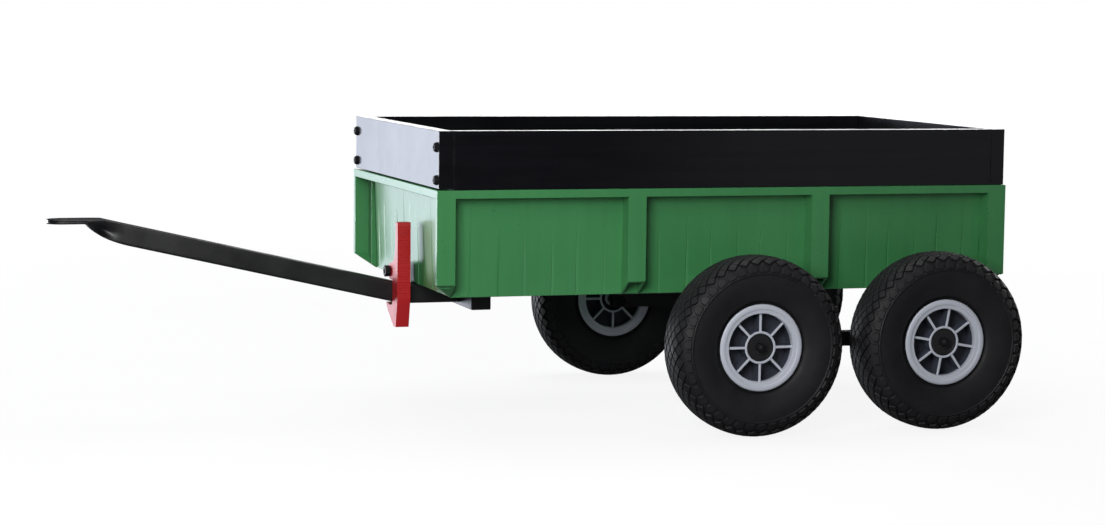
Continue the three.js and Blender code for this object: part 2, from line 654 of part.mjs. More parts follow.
// ---------------------------------------------------------------- bogies
// Pieces of one side are built for +Y about the pivot, then turned for -Y.
function bogieBeam() {
  const halfLength = WHEELBASE / 2 + BEAM_OVERHANG;
  const halfHeight = BEAM_HEIGHT / 2;
  const tube = solid(box(
    [-halfLength, halfLength], [BEAM_INNER_Y, BEAM_OUTER_Y], [-halfHeight, halfHeight]));
  const bore = solid(box(
    [-halfLength - 1, halfLength + 1], [BEAM_INNER_Y + BEAM_WALL, BEAM_OUTER_Y - BEAM_WALL],
    [-halfHeight + BEAM_WALL, halfHeight - BEAM_WALL]));
  const pivotBoss = solid(rod(BOGIE_BUSH_RADIUS - 1, 'y', [BEAM_INNER_Y, BEAM_OUTER_Y]));
  const across = [BEAM_INNER_Y - 1, BEAM_OUTER_Y + 1];
  const holes = [solid(rod(boreRadius(BOGIE_AXLE_RADIUS + 1.5, GAP), 'y', across))];
  for (const end of [-1, 1]) {
    holes.push(solid(rod(STUB_RADIUS + GAP, 'y', across).translate(end * WHEELBASE / 2, 0, 0)));
  }
  return cut(tube.subtract(bore).add(pivotBoss), holes);
}

function bogieBush() {
  const bore = boreRadius(BOGIE_AXLE_RADIUS, 0.08);
  const outer = BOGIE_AXLE_RADIUS + 1.5;
  return turned([
    [bore, BEAM_INNER_Y - 3], [outer + 3, BEAM_INNER_Y - 3], [outer + 3, BEAM_INNER_Y - GAP],
    [outer, BEAM_INNER_Y - GAP], [outer, BEAM_OUTER_Y], [bore, BEAM_OUTER_Y], [bore, BEAM_INNER_Y - 3],
  ]);
}

// Shouldered bolt: head inside the beam, collar between beam and hub, thread outside.
function stubAxle() {
  const beamInner = BEAM_INNER_Y - WHEEL_TRACK / 2;
  const beamOuter = BEAM_OUTER_Y - WHEEL_TRACK / 2;
  return turned([
    [0, beamInner - 4], [STUB_HEAD_RADIUS, beamInner - 4],
    [STUB_HEAD_RADIUS, beamInner - GAP], [STUB_RADIUS, beamInner - GAP],
    [STUB_RADIUS, beamOuter + GAP], [STUB_HEAD_RADIUS, beamOuter + GAP],
    [STUB_HEAD_RADIUS, -HUB_HALF_WIDTH - GAP], [STUB_RADIUS, -HUB_HALF_WIDTH - GAP],
    [STUB_RADIUS, NUT_Y[0] - GAP], [THREAD_RADIUS, NUT_Y[0] - GAP],
    [THREAD_RADIUS, NUT_Y[1]], [0, NUT_Y[1]],
  ]);
}

function tyre() {
  const half = [
    [RIM_SEAT_RADIUS + GAP, 26], [66, 28], [94, TYRE_HALF_WIDTH], [120, 31], [TYRE_RADIUS, 12],
  ];
  const inner = [[122, 0], [112, 24], [84, 30], [RIM_SEAT_RADIUS + GAP, 18]];
  const outline = [
    ...half.map(([r, y]) => [r, -y]),
    ...half.slice().reverse(),
    ...inner.slice().reverse(),
    ...inner.slice(1).map(([r, y]) => [r, -y]),
    [half[0][0], -half[0][1]],
  ];
  return turned(outline, WHEEL_SEGMENTS);
}

function innerTube() {
  const section = [[60, -12], [96, -25], [114, -15], [114, 15], [96, 25], [60, 12], [60, -12]];
  return turned(section, 16);
}

function rim() {
  const lip = [
    [RIM_INNER_RADIUS, 27.5], [56, RIM_HALF_WIDTH], [RIM_RADIUS, 29], [RIM_SEAT_RADIUS, 26.5],
  ];
  const barrel = solid(turned([
    ...lip.map(([r, y]) => [r, -y]),
    ...lip.slice().reverse(),
    [RIM_INNER_RADIUS, -27.5],
  ], WHEEL_SEGMENTS));
  const ring = (inner, outer, half) => solid(turned(
    [[inner, -half], [outer, -half], [outer, half], [inner, half], [inner, -half]], WHEEL_SEGMENTS));
  const sleeveBore = boreRadius(BEARING_RADIUS, GAP, WHEEL_SEGMENTS);
  const web = ring(sleeveBore, RIM_SEAT_RADIUS - 1, 1.5);
  const hub = ring(HUB_RING_BORE, HUB_RING_RADIUS, HUB_HALF_WIDTH);
  const sleeve = ring(sleeveBore, 13, 20);
  const spokes = [];
  for (let i = 0; i < SPOKE_COUNT; i += 1) {
    const blade = box(
      [HUB_RING_RADIUS - 2, RIM_INNER_RADIUS + 2], [-SPOKE_HALF_WIDTH, SPOKE_HALF_WIDTH],
      [-SPOKE_THICKNESS / 2, SPOKE_THICKNESS / 2]);
    spokes.push(solid(blade.rotateY(i * 2 * Math.PI / SPOKE_COUNT)));
  }
  return join([barrel, web, hub, sleeve, ...spokes]);
}

function hubCap() {
  const bore = boreRadius(STUB_RADIUS, 0.5, WHEEL_SEGMENTS);
  const edge = HUB_RING_BORE - 0.5;
  return turned([[bore, 20.5], [edge, 20.5], [edge, 23], [bore, 23.8], [bore, 20.5]], WHEEL_SEGMENTS);
}

function wheelBush() {
  const bore = boreRadius(STUB_RADIUS, 0.08);
  return turned([
    [bore, -HUB_HALF_WIDTH], [BEARING_RADIUS, -HUB_HALF_WIDTH], [BEARING_RADIUS, 20.2],
    [bore, 20.2], [bore, -HUB_HALF_WIDTH],
  ]);
}

function domeNut() {
  const [from, to] = NUT_Y;
  const hex = solid(new THREE.CylinderGeometry(NUT_RADIUS, NUT_RADIUS, to - from, 6)
    .translate(0, (from + to) / 2, 0));
  const dome = solid(turned([[0, 29], [6, 29], [5, 33], [2.5, 35], [0, 35.3]], 12));
  const bore = solid(rod(THREAD_RADIUS + GAP, 'y', [from - 1, to + GAP], 12));
  return hex.add(dome).subtract(bore);
}

function addWheel(name, place) {
  const wheel = new THREE.Group();
  wheel.position.x = place * WHEELBASE / 2;
  wheel.position.y = WHEEL_TRACK / 2;
  add(`tyre_${name}`, tyre(), 'tyre_rubber', wheel);
  add(`inner_tube_${name}`, innerTube(), 'tube_rubber', wheel);
  add(`rim_${name}`, surface(rim()), 'rim_grey', wheel);
  add(`hub_cap_${name}`, hubCap(), 'black_plastic', wheel);
  add(`wheel_bush_${name}`, wheelBush(), 'nylon', wheel);
  add(`stub_axle_${name}`, stubAxle(), 'black_plastic', wheel);
  add(`wheel_nut_${name}`, surface(domeNut()), 'black_plastic', wheel);
  return wheel;
}

function addBogie(sideName, side) {
  const bogie = new THREE.Group();
  bogie.position.set(PIVOT_X, 0, AXLE_Z);
  bogie.rotation.z = side < 0 ? Math.PI : 0;
  add(`bogie_beam_${sideName}`, surface(bogieBeam()), 'black_steel', bogie);
  add(`bogie_bush_${sideName}`, bogieBush(), 'nylon', bogie);
  for (const [endName, end] of [['front', -1], ['rear', 1]]) {
    bogie.add(addWheel(`${endName}_${sideName}`, side * end));
  }
  trailer.add(bogie);
}

// ---------------------------------------------------------------- assembly
addTub();
endBoard('front_board', -1);
endBoard('rear_board', 1);
sideBoard('left_board', -1);
sideBoard('right_board', 1);
addBoardScrews();
boardStrap('board_strap_left', -1);
boardStrap('board_strap_right', 1);
addDrawbar();
addCrossbar();
addSpine();
addAxleCarrier();
addBogieAxle();
addTippingHinge();
addLatch();
addBogie('left', -1);
addBogie('right', 1);

export default trailer;
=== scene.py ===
import json
import math
import random

import bmesh
import bpy
from mathutils import Matrix, Vector

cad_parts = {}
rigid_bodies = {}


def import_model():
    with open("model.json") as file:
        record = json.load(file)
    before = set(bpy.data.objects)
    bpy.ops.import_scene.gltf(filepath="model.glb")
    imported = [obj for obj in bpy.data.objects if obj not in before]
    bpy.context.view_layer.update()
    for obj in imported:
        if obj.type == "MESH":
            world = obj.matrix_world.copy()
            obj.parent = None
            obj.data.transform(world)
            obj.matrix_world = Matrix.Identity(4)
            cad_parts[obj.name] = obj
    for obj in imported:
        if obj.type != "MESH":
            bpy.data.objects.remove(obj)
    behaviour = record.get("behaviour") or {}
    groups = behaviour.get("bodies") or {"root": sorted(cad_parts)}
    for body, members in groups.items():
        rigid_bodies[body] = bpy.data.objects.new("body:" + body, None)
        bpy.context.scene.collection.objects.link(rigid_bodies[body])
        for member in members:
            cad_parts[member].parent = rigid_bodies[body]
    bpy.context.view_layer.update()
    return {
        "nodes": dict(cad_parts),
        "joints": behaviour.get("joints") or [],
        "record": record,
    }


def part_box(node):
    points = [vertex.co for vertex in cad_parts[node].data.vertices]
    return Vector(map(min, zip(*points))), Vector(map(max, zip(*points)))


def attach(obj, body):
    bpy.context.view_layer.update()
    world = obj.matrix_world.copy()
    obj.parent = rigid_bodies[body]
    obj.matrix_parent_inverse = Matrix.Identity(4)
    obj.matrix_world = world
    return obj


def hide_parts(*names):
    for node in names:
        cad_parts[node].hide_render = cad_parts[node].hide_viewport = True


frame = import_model()

# The looks of a tandem-axle tipping trailer for a ride-on pedal tractor.
# Metres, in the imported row's frame: -X is the hitch end, +Z up, Y across.

# ---------- sizes
TUB_WALL = 0.0035
RIM_BAND = 0.012
RIM_LIP = 0.003
INSET_TOP = 0.025            # outer wall behind the rim's edge
INSET_BOTTOM = 0.030
POST_FOOT = 0.021            # height over which the posts slope back to the wall
POST_WALL = 0.003
POST_WIDTH = 0.0275
MID_POSTS = [0.283, 0.567]   # from the tub's front edge
CORNER_FIN = 0.010
GROOVE_PITCH = 0.0393
GROOVE_FIRST = 0.031
SCORE_HEIGHT = 0.0235        # faint marks across the planks, above the tub's bottom

TUBE = 0.030
TUBE_SLOPE = 0.2288
DRAWBAR_BEND = 0.0865        # from the tube's rear end
FLAT_END = 0.055             # from the tongue's tip
PRESS_END = 0.120
TONGUE_THICKNESS = 0.0065
HOLE_RADIUS = 0.0065
COUNTERBORE = 0.0032         # for the rear screws

TYRE_RADIUS = 0.130
SPOKES = 8
TREAD_PITCHES = 42
TREAD_ROW = 0.0068           # from one row of blocks to the next
TREAD_HEIGHT = 0.0036
TREAD_FOOT = 0.1175          # radius beyond which the carcass lies between blocks, where it is darkened as painted shade

FLOOR_RADIUS = 2.8
FLOOR_CLEAR = 0.87           # how sheer the floor is at its middle
EDGE_ANGLE = math.radians(35)

rng = random.Random(7)


# ---------- mesh helpers
def link(name, data):
    thing = bpy.data.objects.new(name, data)
    bpy.context.scene.collection.objects.link(thing)
    return thing


def solid(name, bm):
    """A linked object from a finished bmesh, with its faces turned outwards."""
    bmesh.ops.recalc_face_normals(bm, faces=bm.faces)
    mesh = bpy.data.meshes.new(name)
    bm.to_mesh(mesh)
    bm.free()
    return link(name, mesh)


def mesh_of(thing):
    """A thing's mesh, with the thing itself removed."""
    mesh = thing.data
    bpy.data.objects.remove(thing)
    return mesh


def shade(thing, slot, sharp=38.0):
    """The slot's material, and smooth shading that keeps flat faces flat beside their bevels."""
    mesh = thing.data
    mesh.polygons.foreach_set("use_smooth", [True] * len(mesh.polygons))
    mesh.set_sharp_from_angle(angle=math.radians(sharp))
    thing.modifiers.new("weighted", "WEIGHTED_NORMAL").keep_sharp = True
    mesh.materials.clear()
    mesh.materials.append(MATERIALS[slot])


def place(thing, body, node):
    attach(thing, body)
    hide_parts(node)


def shade_and_place(thing, body, slot, node, sharp=38.0):
    shade(thing, slot, sharp)
    place(thing, body, node)


def set_at(at, degrees):
    """A place, and a turn about Z."""
    return Matrix.Translation(at) @ Matrix.Rotation(math.radians(degrees), 4, "Z")


def sides(bm, rings):
    """Quads between each ring of vertices and the next."""
    made = []
    for near, far in zip(rings[:-1], rings[1:]):
        for i in range(len(near)):
            j = (i + 1) % len(near)
            made.append(bm.faces.new((near[i], near[j], far[j], far[i])))
    return made


def caps(bm, rings):
    return [bm.faces.new(rings[0]), bm.faces.new(rings[-1])]


def bent_edges(bm):
    return [e for e in bm.edges if len(e.link_faces) == 2 and e.calc_face_angle(0) > EDGE_ANGLE]


def bevel_edges(bm, edges, radius, segments):
    if radius > 0:
        bmesh.ops.bevel(
            bm, geom=list(edges), offset=radius, offset_type="OFFSET", segments=segments,
            profile=0.5, affect="EDGES", clamp_overlap=True)


def block(x, y, z, radius=0.0, segments=2, top=None):
    """A block with rounded edges; top gives another footprint for its upper face."""
    top_x, top_y = top or (x, y)
    bm = bmesh.new()
    rings = []
    for (x0, x1), (y0, y1), height in ((x, y, z[0]), (top_x, top_y, z[1])):
        corners = ((x0, y0), (x1, y0), (x1, y1), (x0, y1))
        rings.append([bm.verts.new((a, b, height)) for a, b in corners])
    caps(bm, rings)
    sides(bm, rings)
    bevel_edges(bm, bm.edges, radius, segments)
    return solid("block", bm)


def prism(outline, span, axis, radius=0.0, segments=2):
    """An outline carried along X or Y, with the edges of its two ends and its corners rounded."""
    bm = bmesh.new()
    rings = [
        [bm.verts.new((at, a, b) if axis == "x" else (a, at, b)) for a, b in outline] for at in span]
    end_faces = caps(bm, rings)
    sides(bm, rings)
    edges = set(edge for face in end_faces for edge in face.edges) | set(bent_edges(bm))
    bevel_edges(bm, edges, radius, segments)
    return solid("prism", bm)


def lathe(profile, segments=72):
    """A solid of revolution about Y from (radius, y) pairs: a closed ring, or axis to axis."""
    bm = bmesh.new()
    columns = []
    for i in range(segments):
        turn = 2 * math.pi * i / segments
        columns.append([
            bm.verts.new((r * math.cos(turn), y, r * math.sin(turn))) if r > 1e-7 else None
            for r, y in profile])
    for k, (r, y) in enumerate(profile):
        if r <= 1e-7:
            pole = bm.verts.new((0, y, 0))
            for column in columns:
                column[k] = pole
    for i in range(segments):
        near, far = columns[i], columns[(i + 1) % segments]
        for k in range(len(profile)):
            m = (k + 1) % len(profile)
            ring = []
            for vert in (near[k], near[m], far[m], far[k]):
                if vert not in ring:
                    ring.append(vert)
            if len(ring) > 2:
                bm.faces.new(ring)
    return solid("lathe", bm)


def arc(centre, radius, start, end, count):
    """Points of an arc, with angles in degrees."""
    points = []
    for i in range(count + 1):
        turn = math.radians(start + (end - start) * i / count)
        points.append((centre[0] + radius * math.cos(turn), centre[1] + radius * math.sin(turn)))
    return points


def bezier(p0, p1, p2, count):
    points = []
    for i in range(count + 1):
        t = i / count
        a, b, c = (1 - t) ** 2, 2 * t * (1 - t), t * t
        points.append((a * p0[0] + b * p1[0] + c * p2[0], a * p0[1] + b * p1[1] + c * p2[1]))
    return points


def combine(name, base, joined=(), common=(), removed=()):
    """One closed mesh from a base solid, the solids joined to it and those cut from it."""
    used = [base]
    steps = (("UNION", joined), ("INTERSECT", common), ("DIFFERENCE", removed))
    for operation, members in steps:
        for member in members:
            modifier = base.modifiers.new(operation, "BOOLEAN")
            modifier.operation = operation
            modifier.object = member
            modifier.solver = "MANIFOLD"
            used.append(member)
    bpy.context.view_layer.update()
    evaluated = base.evaluated_get(bpy.context.evaluated_depsgraph_get())
    mesh = bpy.data.meshes.new_from_object(evaluated)
    mesh.name = name
    for thing in used:
        bpy.data.objects.remove(thing)
    return link(name, mesh)


def merged(name, things):
    """Several closed solids as one object, each with its own transform applied."""
    bm = bmesh.new()
    bpy.context.view_layer.update()
    for thing in things:
        start = len(bm.verts)
        bm.from_mesh(thing.data)
        bm.verts.ensure_lookup_table()
        bmesh.ops.transform(bm, matrix=thing.matrix_world, verts=bm.verts[start:])
    for thing in things:
        bpy.data.objects.remove(thing)
    mesh = bpy.data.meshes.new(name)
    bm.to_mesh(mesh)
    bm.free()
    return link(name, mesh)


def round_faces(thing, radius, segments, chosen):
    """Rounds every edge of the faces that the test picks out."""
    bm = bmesh.new()
    bm.from_mesh(thing.data)
    edges = set(e for f in bm.faces if chosen(f) for e in f.edges)
    bevel_edges(bm, edges, radius, segments)
    bm.to_mesh(thing.data)
    bm.free()


def refined(name, node, radius, segments=2):
    """A CAD node's own shape with its flat faces joined up and its edges rounded."""
    bm = bmesh.new()
    bm.from_mesh(frame["nodes"][node].data)
    bmesh.ops.remove_doubles(bm, verts=bm.verts, dist=2e-5)
    bmesh.ops.dissolve_limit(bm, angle_limit=math.radians(2), verts=bm.verts, edges=bm.edges)
    bevel_edges(bm, bent_edges(bm), radius, segments)
    bmesh.ops.triangulate(bm, faces=[f for f in bm.faces if len(f.verts) > 4])
    return solid(name, bm)


# ---------- materials
class Shader:
    """A node material built up in steps around one Principled shader."""

    def __init__(self, name, roughness=0.5, metallic=0.0, specular=0.5):
        self.material = bpy.data.materials.new(name)
        self.material.use_nodes = True
        self.tree = self.material.node_tree
        self.shader = self.tree.nodes["Principled BSDF"]
        self.shader.inputs["Roughness"].default_value = roughness
        self.shader.inputs["Metallic"].default_value = metallic
        self.shader.inputs["Specular IOR Level"].default_value = specular
        self.space = self.tree.nodes.new("ShaderNodeTexCoord").outputs["Object"]
        self.wire = self.tree.links.new
        self.height = None

    def node(self, kind, **values):
        """A node, with each value put on its socket, or on the node itself if it has no such socket."""
        made = self.tree.nodes.new(kind)
        for key, value in values.items():
            if key in made.inputs:
                made.inputs[key].default_value = value
            else:
                setattr(made, key, value)
        return made

    def noise(self, scale, detail=3.0, stretch=None):
        made = self.node("ShaderNodeTexNoise", Scale=scale, Detail=detail, Roughness=0.55)
        source = self.space
        if stretch:
            mapping = self.node("ShaderNodeMapping", Scale=stretch)
            self.wire(source, mapping.inputs["Vector"])
            source = mapping.outputs["Vector"]
        self.wire(source, made.inputs["Vector"])
        return made.outputs["Fac"]

    def cells(self, scale):
        made = self.node("ShaderNodeTexVoronoi", Scale=scale)
        self.wire(self.space, made.inputs["Vector"])
        return made.outputs["Distance"]

    def ramp(self, source, *stops):
        """A texture turned into colours between two stops. A plain number is a grey."""
        made = self.node("ShaderNodeValToRGB")
        for element, (at, colour) in zip(made.color_ramp.elements, stops):
            element.position = at
            element.color = (*(colour if isinstance(colour, tuple) else (colour,) * 3), 1.0)
        self.wire(source, made.inputs["Fac"])
        return made.outputs["Color"]

    def colour(self, *sources):
        """One colour, or several multiplied together, as the base colour."""
        result = sources[0]
        for source in sources[1:]:
            made = self.node("ShaderNodeMix", data_type="RGBA", blend_type="MULTIPLY")
            made.inputs["Factor"].default_value = 1.0
            self.wire(result, made.inputs[6])
            self.wire(source, made.inputs[7])
            result = made.outputs[2]
        self.wire(result, self.shader.inputs["Base Color"])

    def spread(self, source, low, high, start=0.3, end=0.7):
        """A texture's middle range mapped onto low to high."""
        made = self.node("ShaderNodeMapRange", **{
            "From Min": start, "From Max": end, "To Min": low, "To Max": high})
        self.wire(source, made.inputs["Value"])
        return made.outputs["Result"]

    def roughness(self, source, low, high):
        self.wire(self.spread(source, low, high), self.shader.inputs["Roughness"])

    def bump(self, source, distance, strength):
        made = self.node("ShaderNodeBump", Distance=distance, Strength=strength)
        self.wire(source, made.inputs["Height"])
        if self.height is not None:
            self.wire(self.height, made.inputs["Normal"])
        self.height = made.outputs["Normal"]
        self.wire(self.height, self.shader.inputs["Normal"])

    def fade_out(self, radius, clearest):
        """Makes a round sheet sheer, and lets it fade away towards its rim."""
        distance = self.node("ShaderNodeVectorMath", operation="LENGTH")
        self.wire(self.space, distance.inputs[0])
        share = self.spread(distance.outputs["Value"], clearest, 1.0, radius * 0.5, radius * 0.98)
        clear = self.node("ShaderNodeBsdfTransparent")
        mix = self.node("ShaderNodeMixShader")
        self.wire(share, mix.inputs["Fac"])
        self.wire(self.shader.outputs["BSDF"], mix.inputs[1])
        self.wire(clear.outputs["BSDF"], mix.inputs[2])
        self.wire(mix.outputs["Shader"], self.tree.nodes["Material Output"].inputs["Surface"])


def moulded_plastic(name, colour, shadow, roughness, specular=0.5):
    """Moulded plastic: flow clouds, a fine spark-eroded grain and softly varied gloss."""
    look = Shader(name, specular=specular)
    clouds = look.noise(7.0, 4.0)
    fine = look.noise(900.0, 2.0)
    look.colour(look.ramp(clouds, (0.3, shadow), (0.7, colour)), look.ramp(fine, (0.25, 0.93), (0.75, 1.0)))
    look.roughness(look.noise(22.0, 5.0), roughness - 0.06, roughness + 0.08)
    look.bump(fine, 0.00004, 0.7)
    look.bump(look.noise(16.0, 2.0), 0.0006, 0.25)
    return look.material


def green_plastic():
    """Tub plastic, with streaks drawn down the walls by the mould."""
    look = Shader("tub_green_plastic", specular=0.5)
    clouds = look.noise(5.0, 5.0)
    streaks = look.noise(1.0, 4.0, stretch=(60.0, 60.0, 3.0))
    fine = look.noise(850.0, 2.0)
    look.colour(
        look.ramp(clouds, (0.28, (0.050, 0.238, 0.080)), (0.72, (0.062, 0.272, 0.094))),
        look.ramp(streaks, (0.3, (0.90, 0.91, 0.90)), (0.7, 1.0)),
        look.ramp(fine, (0.25, 0.92), (0.75, 1.0)))
    look.roughness(look.noise(18.0, 5.0), 0.27, 0.34)
    look.bump(fine, 0.00005, 0.7)
    look.bump(look.noise(9.0, 1.0), 0.0006, 0.08)
    return look.material


def film_board():
    """Film-faced board: a smooth dark resin film over a faint wood figure."""
    look = Shader("board_black_film", specular=0.45)
    figure = look.noise(1.0, 6.0, stretch=(4.0, 90.0, 90.0))
    specks = look.noise(420.0, 3.0)
    look.colour(
        look.ramp(figure, (0.3, (0.0026, 0.0025, 0.0042)), (0.7, (0.0050, 0.0048, 0.0072))),
        look.ramp(specks, (0.30, 0.8), (0.75, 1.1)))
    look.roughness(look.noise(14.0, 6.0), 0.18, 0.24)
    look.bump(figure, 0.0001, 0.10)
    look.bump(specks, 0.00003, 0.5)
    return look.material


def powder_coat():
    """Black powder coat with its orange-peel surface."""
    look = Shader("black_powder_coat", specular=0.5)
    peel = look.noise(320.0, 2.0)
    clouds = look.noise(26.0, 4.0)
    look.colour(look.ramp(clouds, (0.3, (0.0038, 0.0038, 0.0048)), (0.7, (0.0072, 0.0072, 0.0086))))
    look.roughness(clouds, 0.36, 0.48)
    look.bump(peel, 0.00012, 0.6)
    look.bump(look.cells(700.0), 0.00004, 0.4)
    return look.material


def tyre_rubber():
    """Tyre rubber: dusty bloom, a fine mould texture and dull gloss."""
    look = Shader("tyre_black_rubber", specular=0.27)
    bloom = look.noise(24.0, 6.0)
    fine = look.noise(650.0, 3.0)
    look.colour(
        look.ramp(bloom, (0.28, (0.0092, 0.0092, 0.0108)), (0.72, (0.0158, 0.0158, 0.0180))),
        look.ramp(fine, (0.3, 0.82), (0.8, (1.15, 1.14, 1.12))))
    look.roughness(look.noise(60.0, 4.0), 0.50, 0.66)
    look.bump(fine, 0.00006, 0.7)
    return look.material


def zinc_plate():
    """Zinc-plated steel with fine turning lines and faint spangle."""
    look = Shader("zinc_plated_steel", metallic=1.0)
    lines = look.noise(1.0, 3.0, stretch=(40.0, 900.0, 40.0))
    look.colour(look.ramp(look.cells(140.0), (0.1, (0.50, 0.50, 0.52)), (0.9, (0.62, 0.61, 0.58))))
    look.roughness(lines, 0.24, 0.42)
    look.bump(lines, 0.00005, 0.5)
    return look.material


MATERIALS = {
    "tub_green": green_plastic(),
    "board_black": film_board(),
    "black_steel": powder_coat(),
    "zinc_steel": zinc_plate(),
    "tyre_rubber": tyre_rubber(),
}
# Slot, material name, colour, its darker clouds, roughness and, where it isn't 0.5, specular.
for slot, *look in (
        ("latch_red", "latch_red_plastic", (0.50, 0.012, 0.016), (0.42, 0.008, 0.011), 0.42),
        ("black_fastener", "fastener_black", (0.012, 0.012, 0.014), (0.008, 0.008, 0.009), 0.46, 0.15),
        # A darker rubber on the tread blocks' sides and the carcass between them, as painted shade.
        ("tread_painted_shade", "tread_gap_rubber", (0.0045, 0.0045, 0.005), (0.003, 0.003, 0.003), 0.70, 0.08),
        ("tube_rubber", "tube_rubber", (0.016, 0.016, 0.016), (0.010, 0.010, 0.010), 0.60),
        ("rim_grey", "rim_grey_plastic", (0.600, 0.630, 0.710), (0.530, 0.560, 0.635), 0.40),
        # A dark blue-grey put on the rim's pockets as painted shade.
        ("rim_pocket_shade", "rim_web_plastic", (0.060, 0.068, 0.092), (0.044, 0.050, 0.070), 0.45),
        ("hub_black", "hub_black_plastic", (0.017, 0.017, 0.019), (0.011, 0.011, 0.012), 0.36),
        ("bush_nylon", "bush_nylon", (0.70, 0.68, 0.62), (0.62, 0.60, 0.54), 0.45)):
    MATERIALS[slot] = moulded_plastic(*look)


# ---------- tub
tub_low, tub_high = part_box("tub")


def footprint(inset):
    return (
        (tub_low.x + inset, tub_high.x - inset),
        (tub_low.y + inset, tub_high.y - inset))


def tapered(inset_bottom, inset_top, bottom, top, radius=0.0, segments=2):
    return block(*footprint(inset_bottom), (bottom, top), radius, segments, top=footprint(inset_top))


def wall_inset(z):
    """Inset of the outer wall's face at a height."""
    share = (z - tub_low.z) / (tub_high.z - tub_low.z)
    return INSET_BOTTOM + (INSET_TOP - INSET_BOTTOM) * share


def wall_point(wall, along, out, z):
    """A point on a side or end wall, so far along it and so far outside its face."""
    sign = -1 if wall[0] == "-" else 1
    edge = {"-x": tub_low.x, "+x": tub_high.x, "-y": tub_low.y, "+y": tub_high.y}[wall]
    face = edge - sign * (wall_inset(z) - out)
    return (face, along, z) if wall[1] == "x" else (along, face, z)


def cutter(wall, triangles):
    """A cutter through triangles, each of three points given as along, out and z."""
    bm = bmesh.new()
    rings = [[bm.verts.new(wall_point(wall, *point)) for point in ring] for ring in triangles]
    sides(bm, rings)
    caps(bm, rings)
    return solid("cutter", bm)


def groove_section(along, z, depth, before, after):
    """One triangle of a groove: its depth, and its reach to either side of the line."""
    out = 0.001
    spread = depth + out
    return (along - before * spread, out, z), (along + after * spread, out, z), (along, -depth, z)


def groove_lines(wall):
    """Where the plank lines stand along a wall."""
    if wall[1] == "x":
        return [i * GROOVE_PITCH for i in range(-5, 6)]
    starts = [tub_low.x] + [tub_low.x + post for post in MID_POSTS]
    ends = [tub_low.x + post for post in MID_POSTS] + [tub_high.x - POST_WIDTH]
    lines = []
    for start, end in zip(starts, ends):
        first = start + POST_WIDTH + GROOVE_FIRST
        lines += [first + i * GROOVE_PITCH for i in range(6) if first + i * GROOVE_PITCH < end - 0.006]
    return lines


def plank_grooves():
    """Lapped plank lines: sharp on one side, dished on the other, and fading out upwards."""
    cutters = []
    height = tub_high.z - tub_low.z
    for wall in ("-y", "+y", "-x", "+x"):
        for i, line in enumerate(groove_lines(wall)):
            at = line + (0.0014 if i % 2 else -0.0014)
            depth = rng.uniform(0.0010, 0.0018)
            sharp, dished = rng.choice((0.4, 0.7)), rng.uniform(2.0, 4.2)
            if rng.random() < 0.3:
                sharp, dished = dished, sharp
            fade = tub_low.z + height * rng.uniform(0.62, 0.92)
            cutters.append(cutter(wall, [
                groove_section(at, tub_low.z - 0.002, depth, sharp, dished),
                groove_section(at + rng.uniform(-0.0006, 0.0006), tub_low.z + height * 0.45,
                               depth * 0.8, sharp, dished),
                groove_section(at + rng.uniform(-0.0008, 0.0008), fade, 0.00006, sharp, dished)]))
            if rng.random() < 0.55:
                cutters.append(score_mark(wall, at + 0.003, at + GROOVE_PITCH * rng.uniform(0.5, 0.85)))
    return cutters


def score_mark(wall, start, end):
    """A faint level line across part of a plank."""
    z, deep, half, out = tub_low.z + SCORE_HEIGHT, 0.00025, 0.0012, 0.0005
    return cutter(wall, [
        [(along, out, z + half), (along, out, z - half), (along, -deep, z)] for along in (start, end)])


def hollow_post(x0, side):
    """A post on a side wall: an upright with a sloping foot, hollow and open below."""
    outer = side * tub_high.y
    wall = side * (tub_high.y - INSET_BOTTOM - 0.001)
    foot = side * (tub_high.y - INSET_BOTTOM + 0.001)
    foot_top = tub_low.z + POST_FOOT
    outline = [
        (wall, tub_low.z), (foot, tub_low.z), (outer, foot_top),
        (outer, tub_high.z - RIM_BAND / 2), (wall, tub_high.z - RIM_BAND / 2)]
    body = prism(outline, (x0, x0 + POST_WIDTH), "x", 0.0010, 2)
    inner = side * (tub_high.y - POST_WALL)
    across = tuple(sorted((wall - side * 0.004, inner)))
    hollow = block(
        (x0 + POST_WALL, x0 + POST_WIDTH - POST_WALL), across,
        (tub_low.z - 0.01, tub_high.z - RIM_BAND), 0.0008, 2)
    return combine("post", body, removed=[hollow])


def corner_post(end, side):
    """A corner: a thin hollow fin flush with the rim, and the web that ties it to the wall."""
    edge = tub_low.x if end < 0 else tub_high.x

    def along(near, far):
        return tuple(sorted((edge - end * near, edge - end * far)))

    def across(near, far):
        return tuple(sorted((side * near, side * far)))

    outer = tub_high.y
    z = (tub_low.z, tub_high.z - RIM_BAND / 2)
    fin = block(along(0, POST_WIDTH), across(outer - CORNER_FIN, outer), z, 0.0010, 2)
    foot_top, foot_outer = tub_low.z + POST_FOOT, outer - INSET_BOTTOM + 0.001
    foot = prism([
        (side * (outer - CORNER_FIN), foot_top + 0.001), (side * outer, foot_top + 0.001),
        (side * outer, foot_top), (side * foot_outer, tub_low.z),
        (side * (foot_outer - CORNER_FIN), tub_low.z), (side * (outer - CORNER_FIN), foot_top),
    ], along(0, POST_WIDTH), "x")
    web = block(
        along(POST_WIDTH - 0.006, POST_WIDTH), across(outer - INSET_BOTTOM - 0.002, outer), z, 0.0008, 2)
    tie = block(
        along(POST_WIDTH - 0.001, INSET_BOTTOM + 0.002),
        across(outer - INSET_BOTTOM - 0.002, outer - INSET_BOTTOM + 0.0003), z)
    hollow = block(
        along(POST_WALL, POST_WIDTH - 0.006), across(outer - CORNER_FIN + 0.0025, outer - 0.0025),
        (tub_low.z - 0.01, tub_high.z - RIM_BAND), 0.0006, 2)
    return [fin, web, foot, tie], hollow


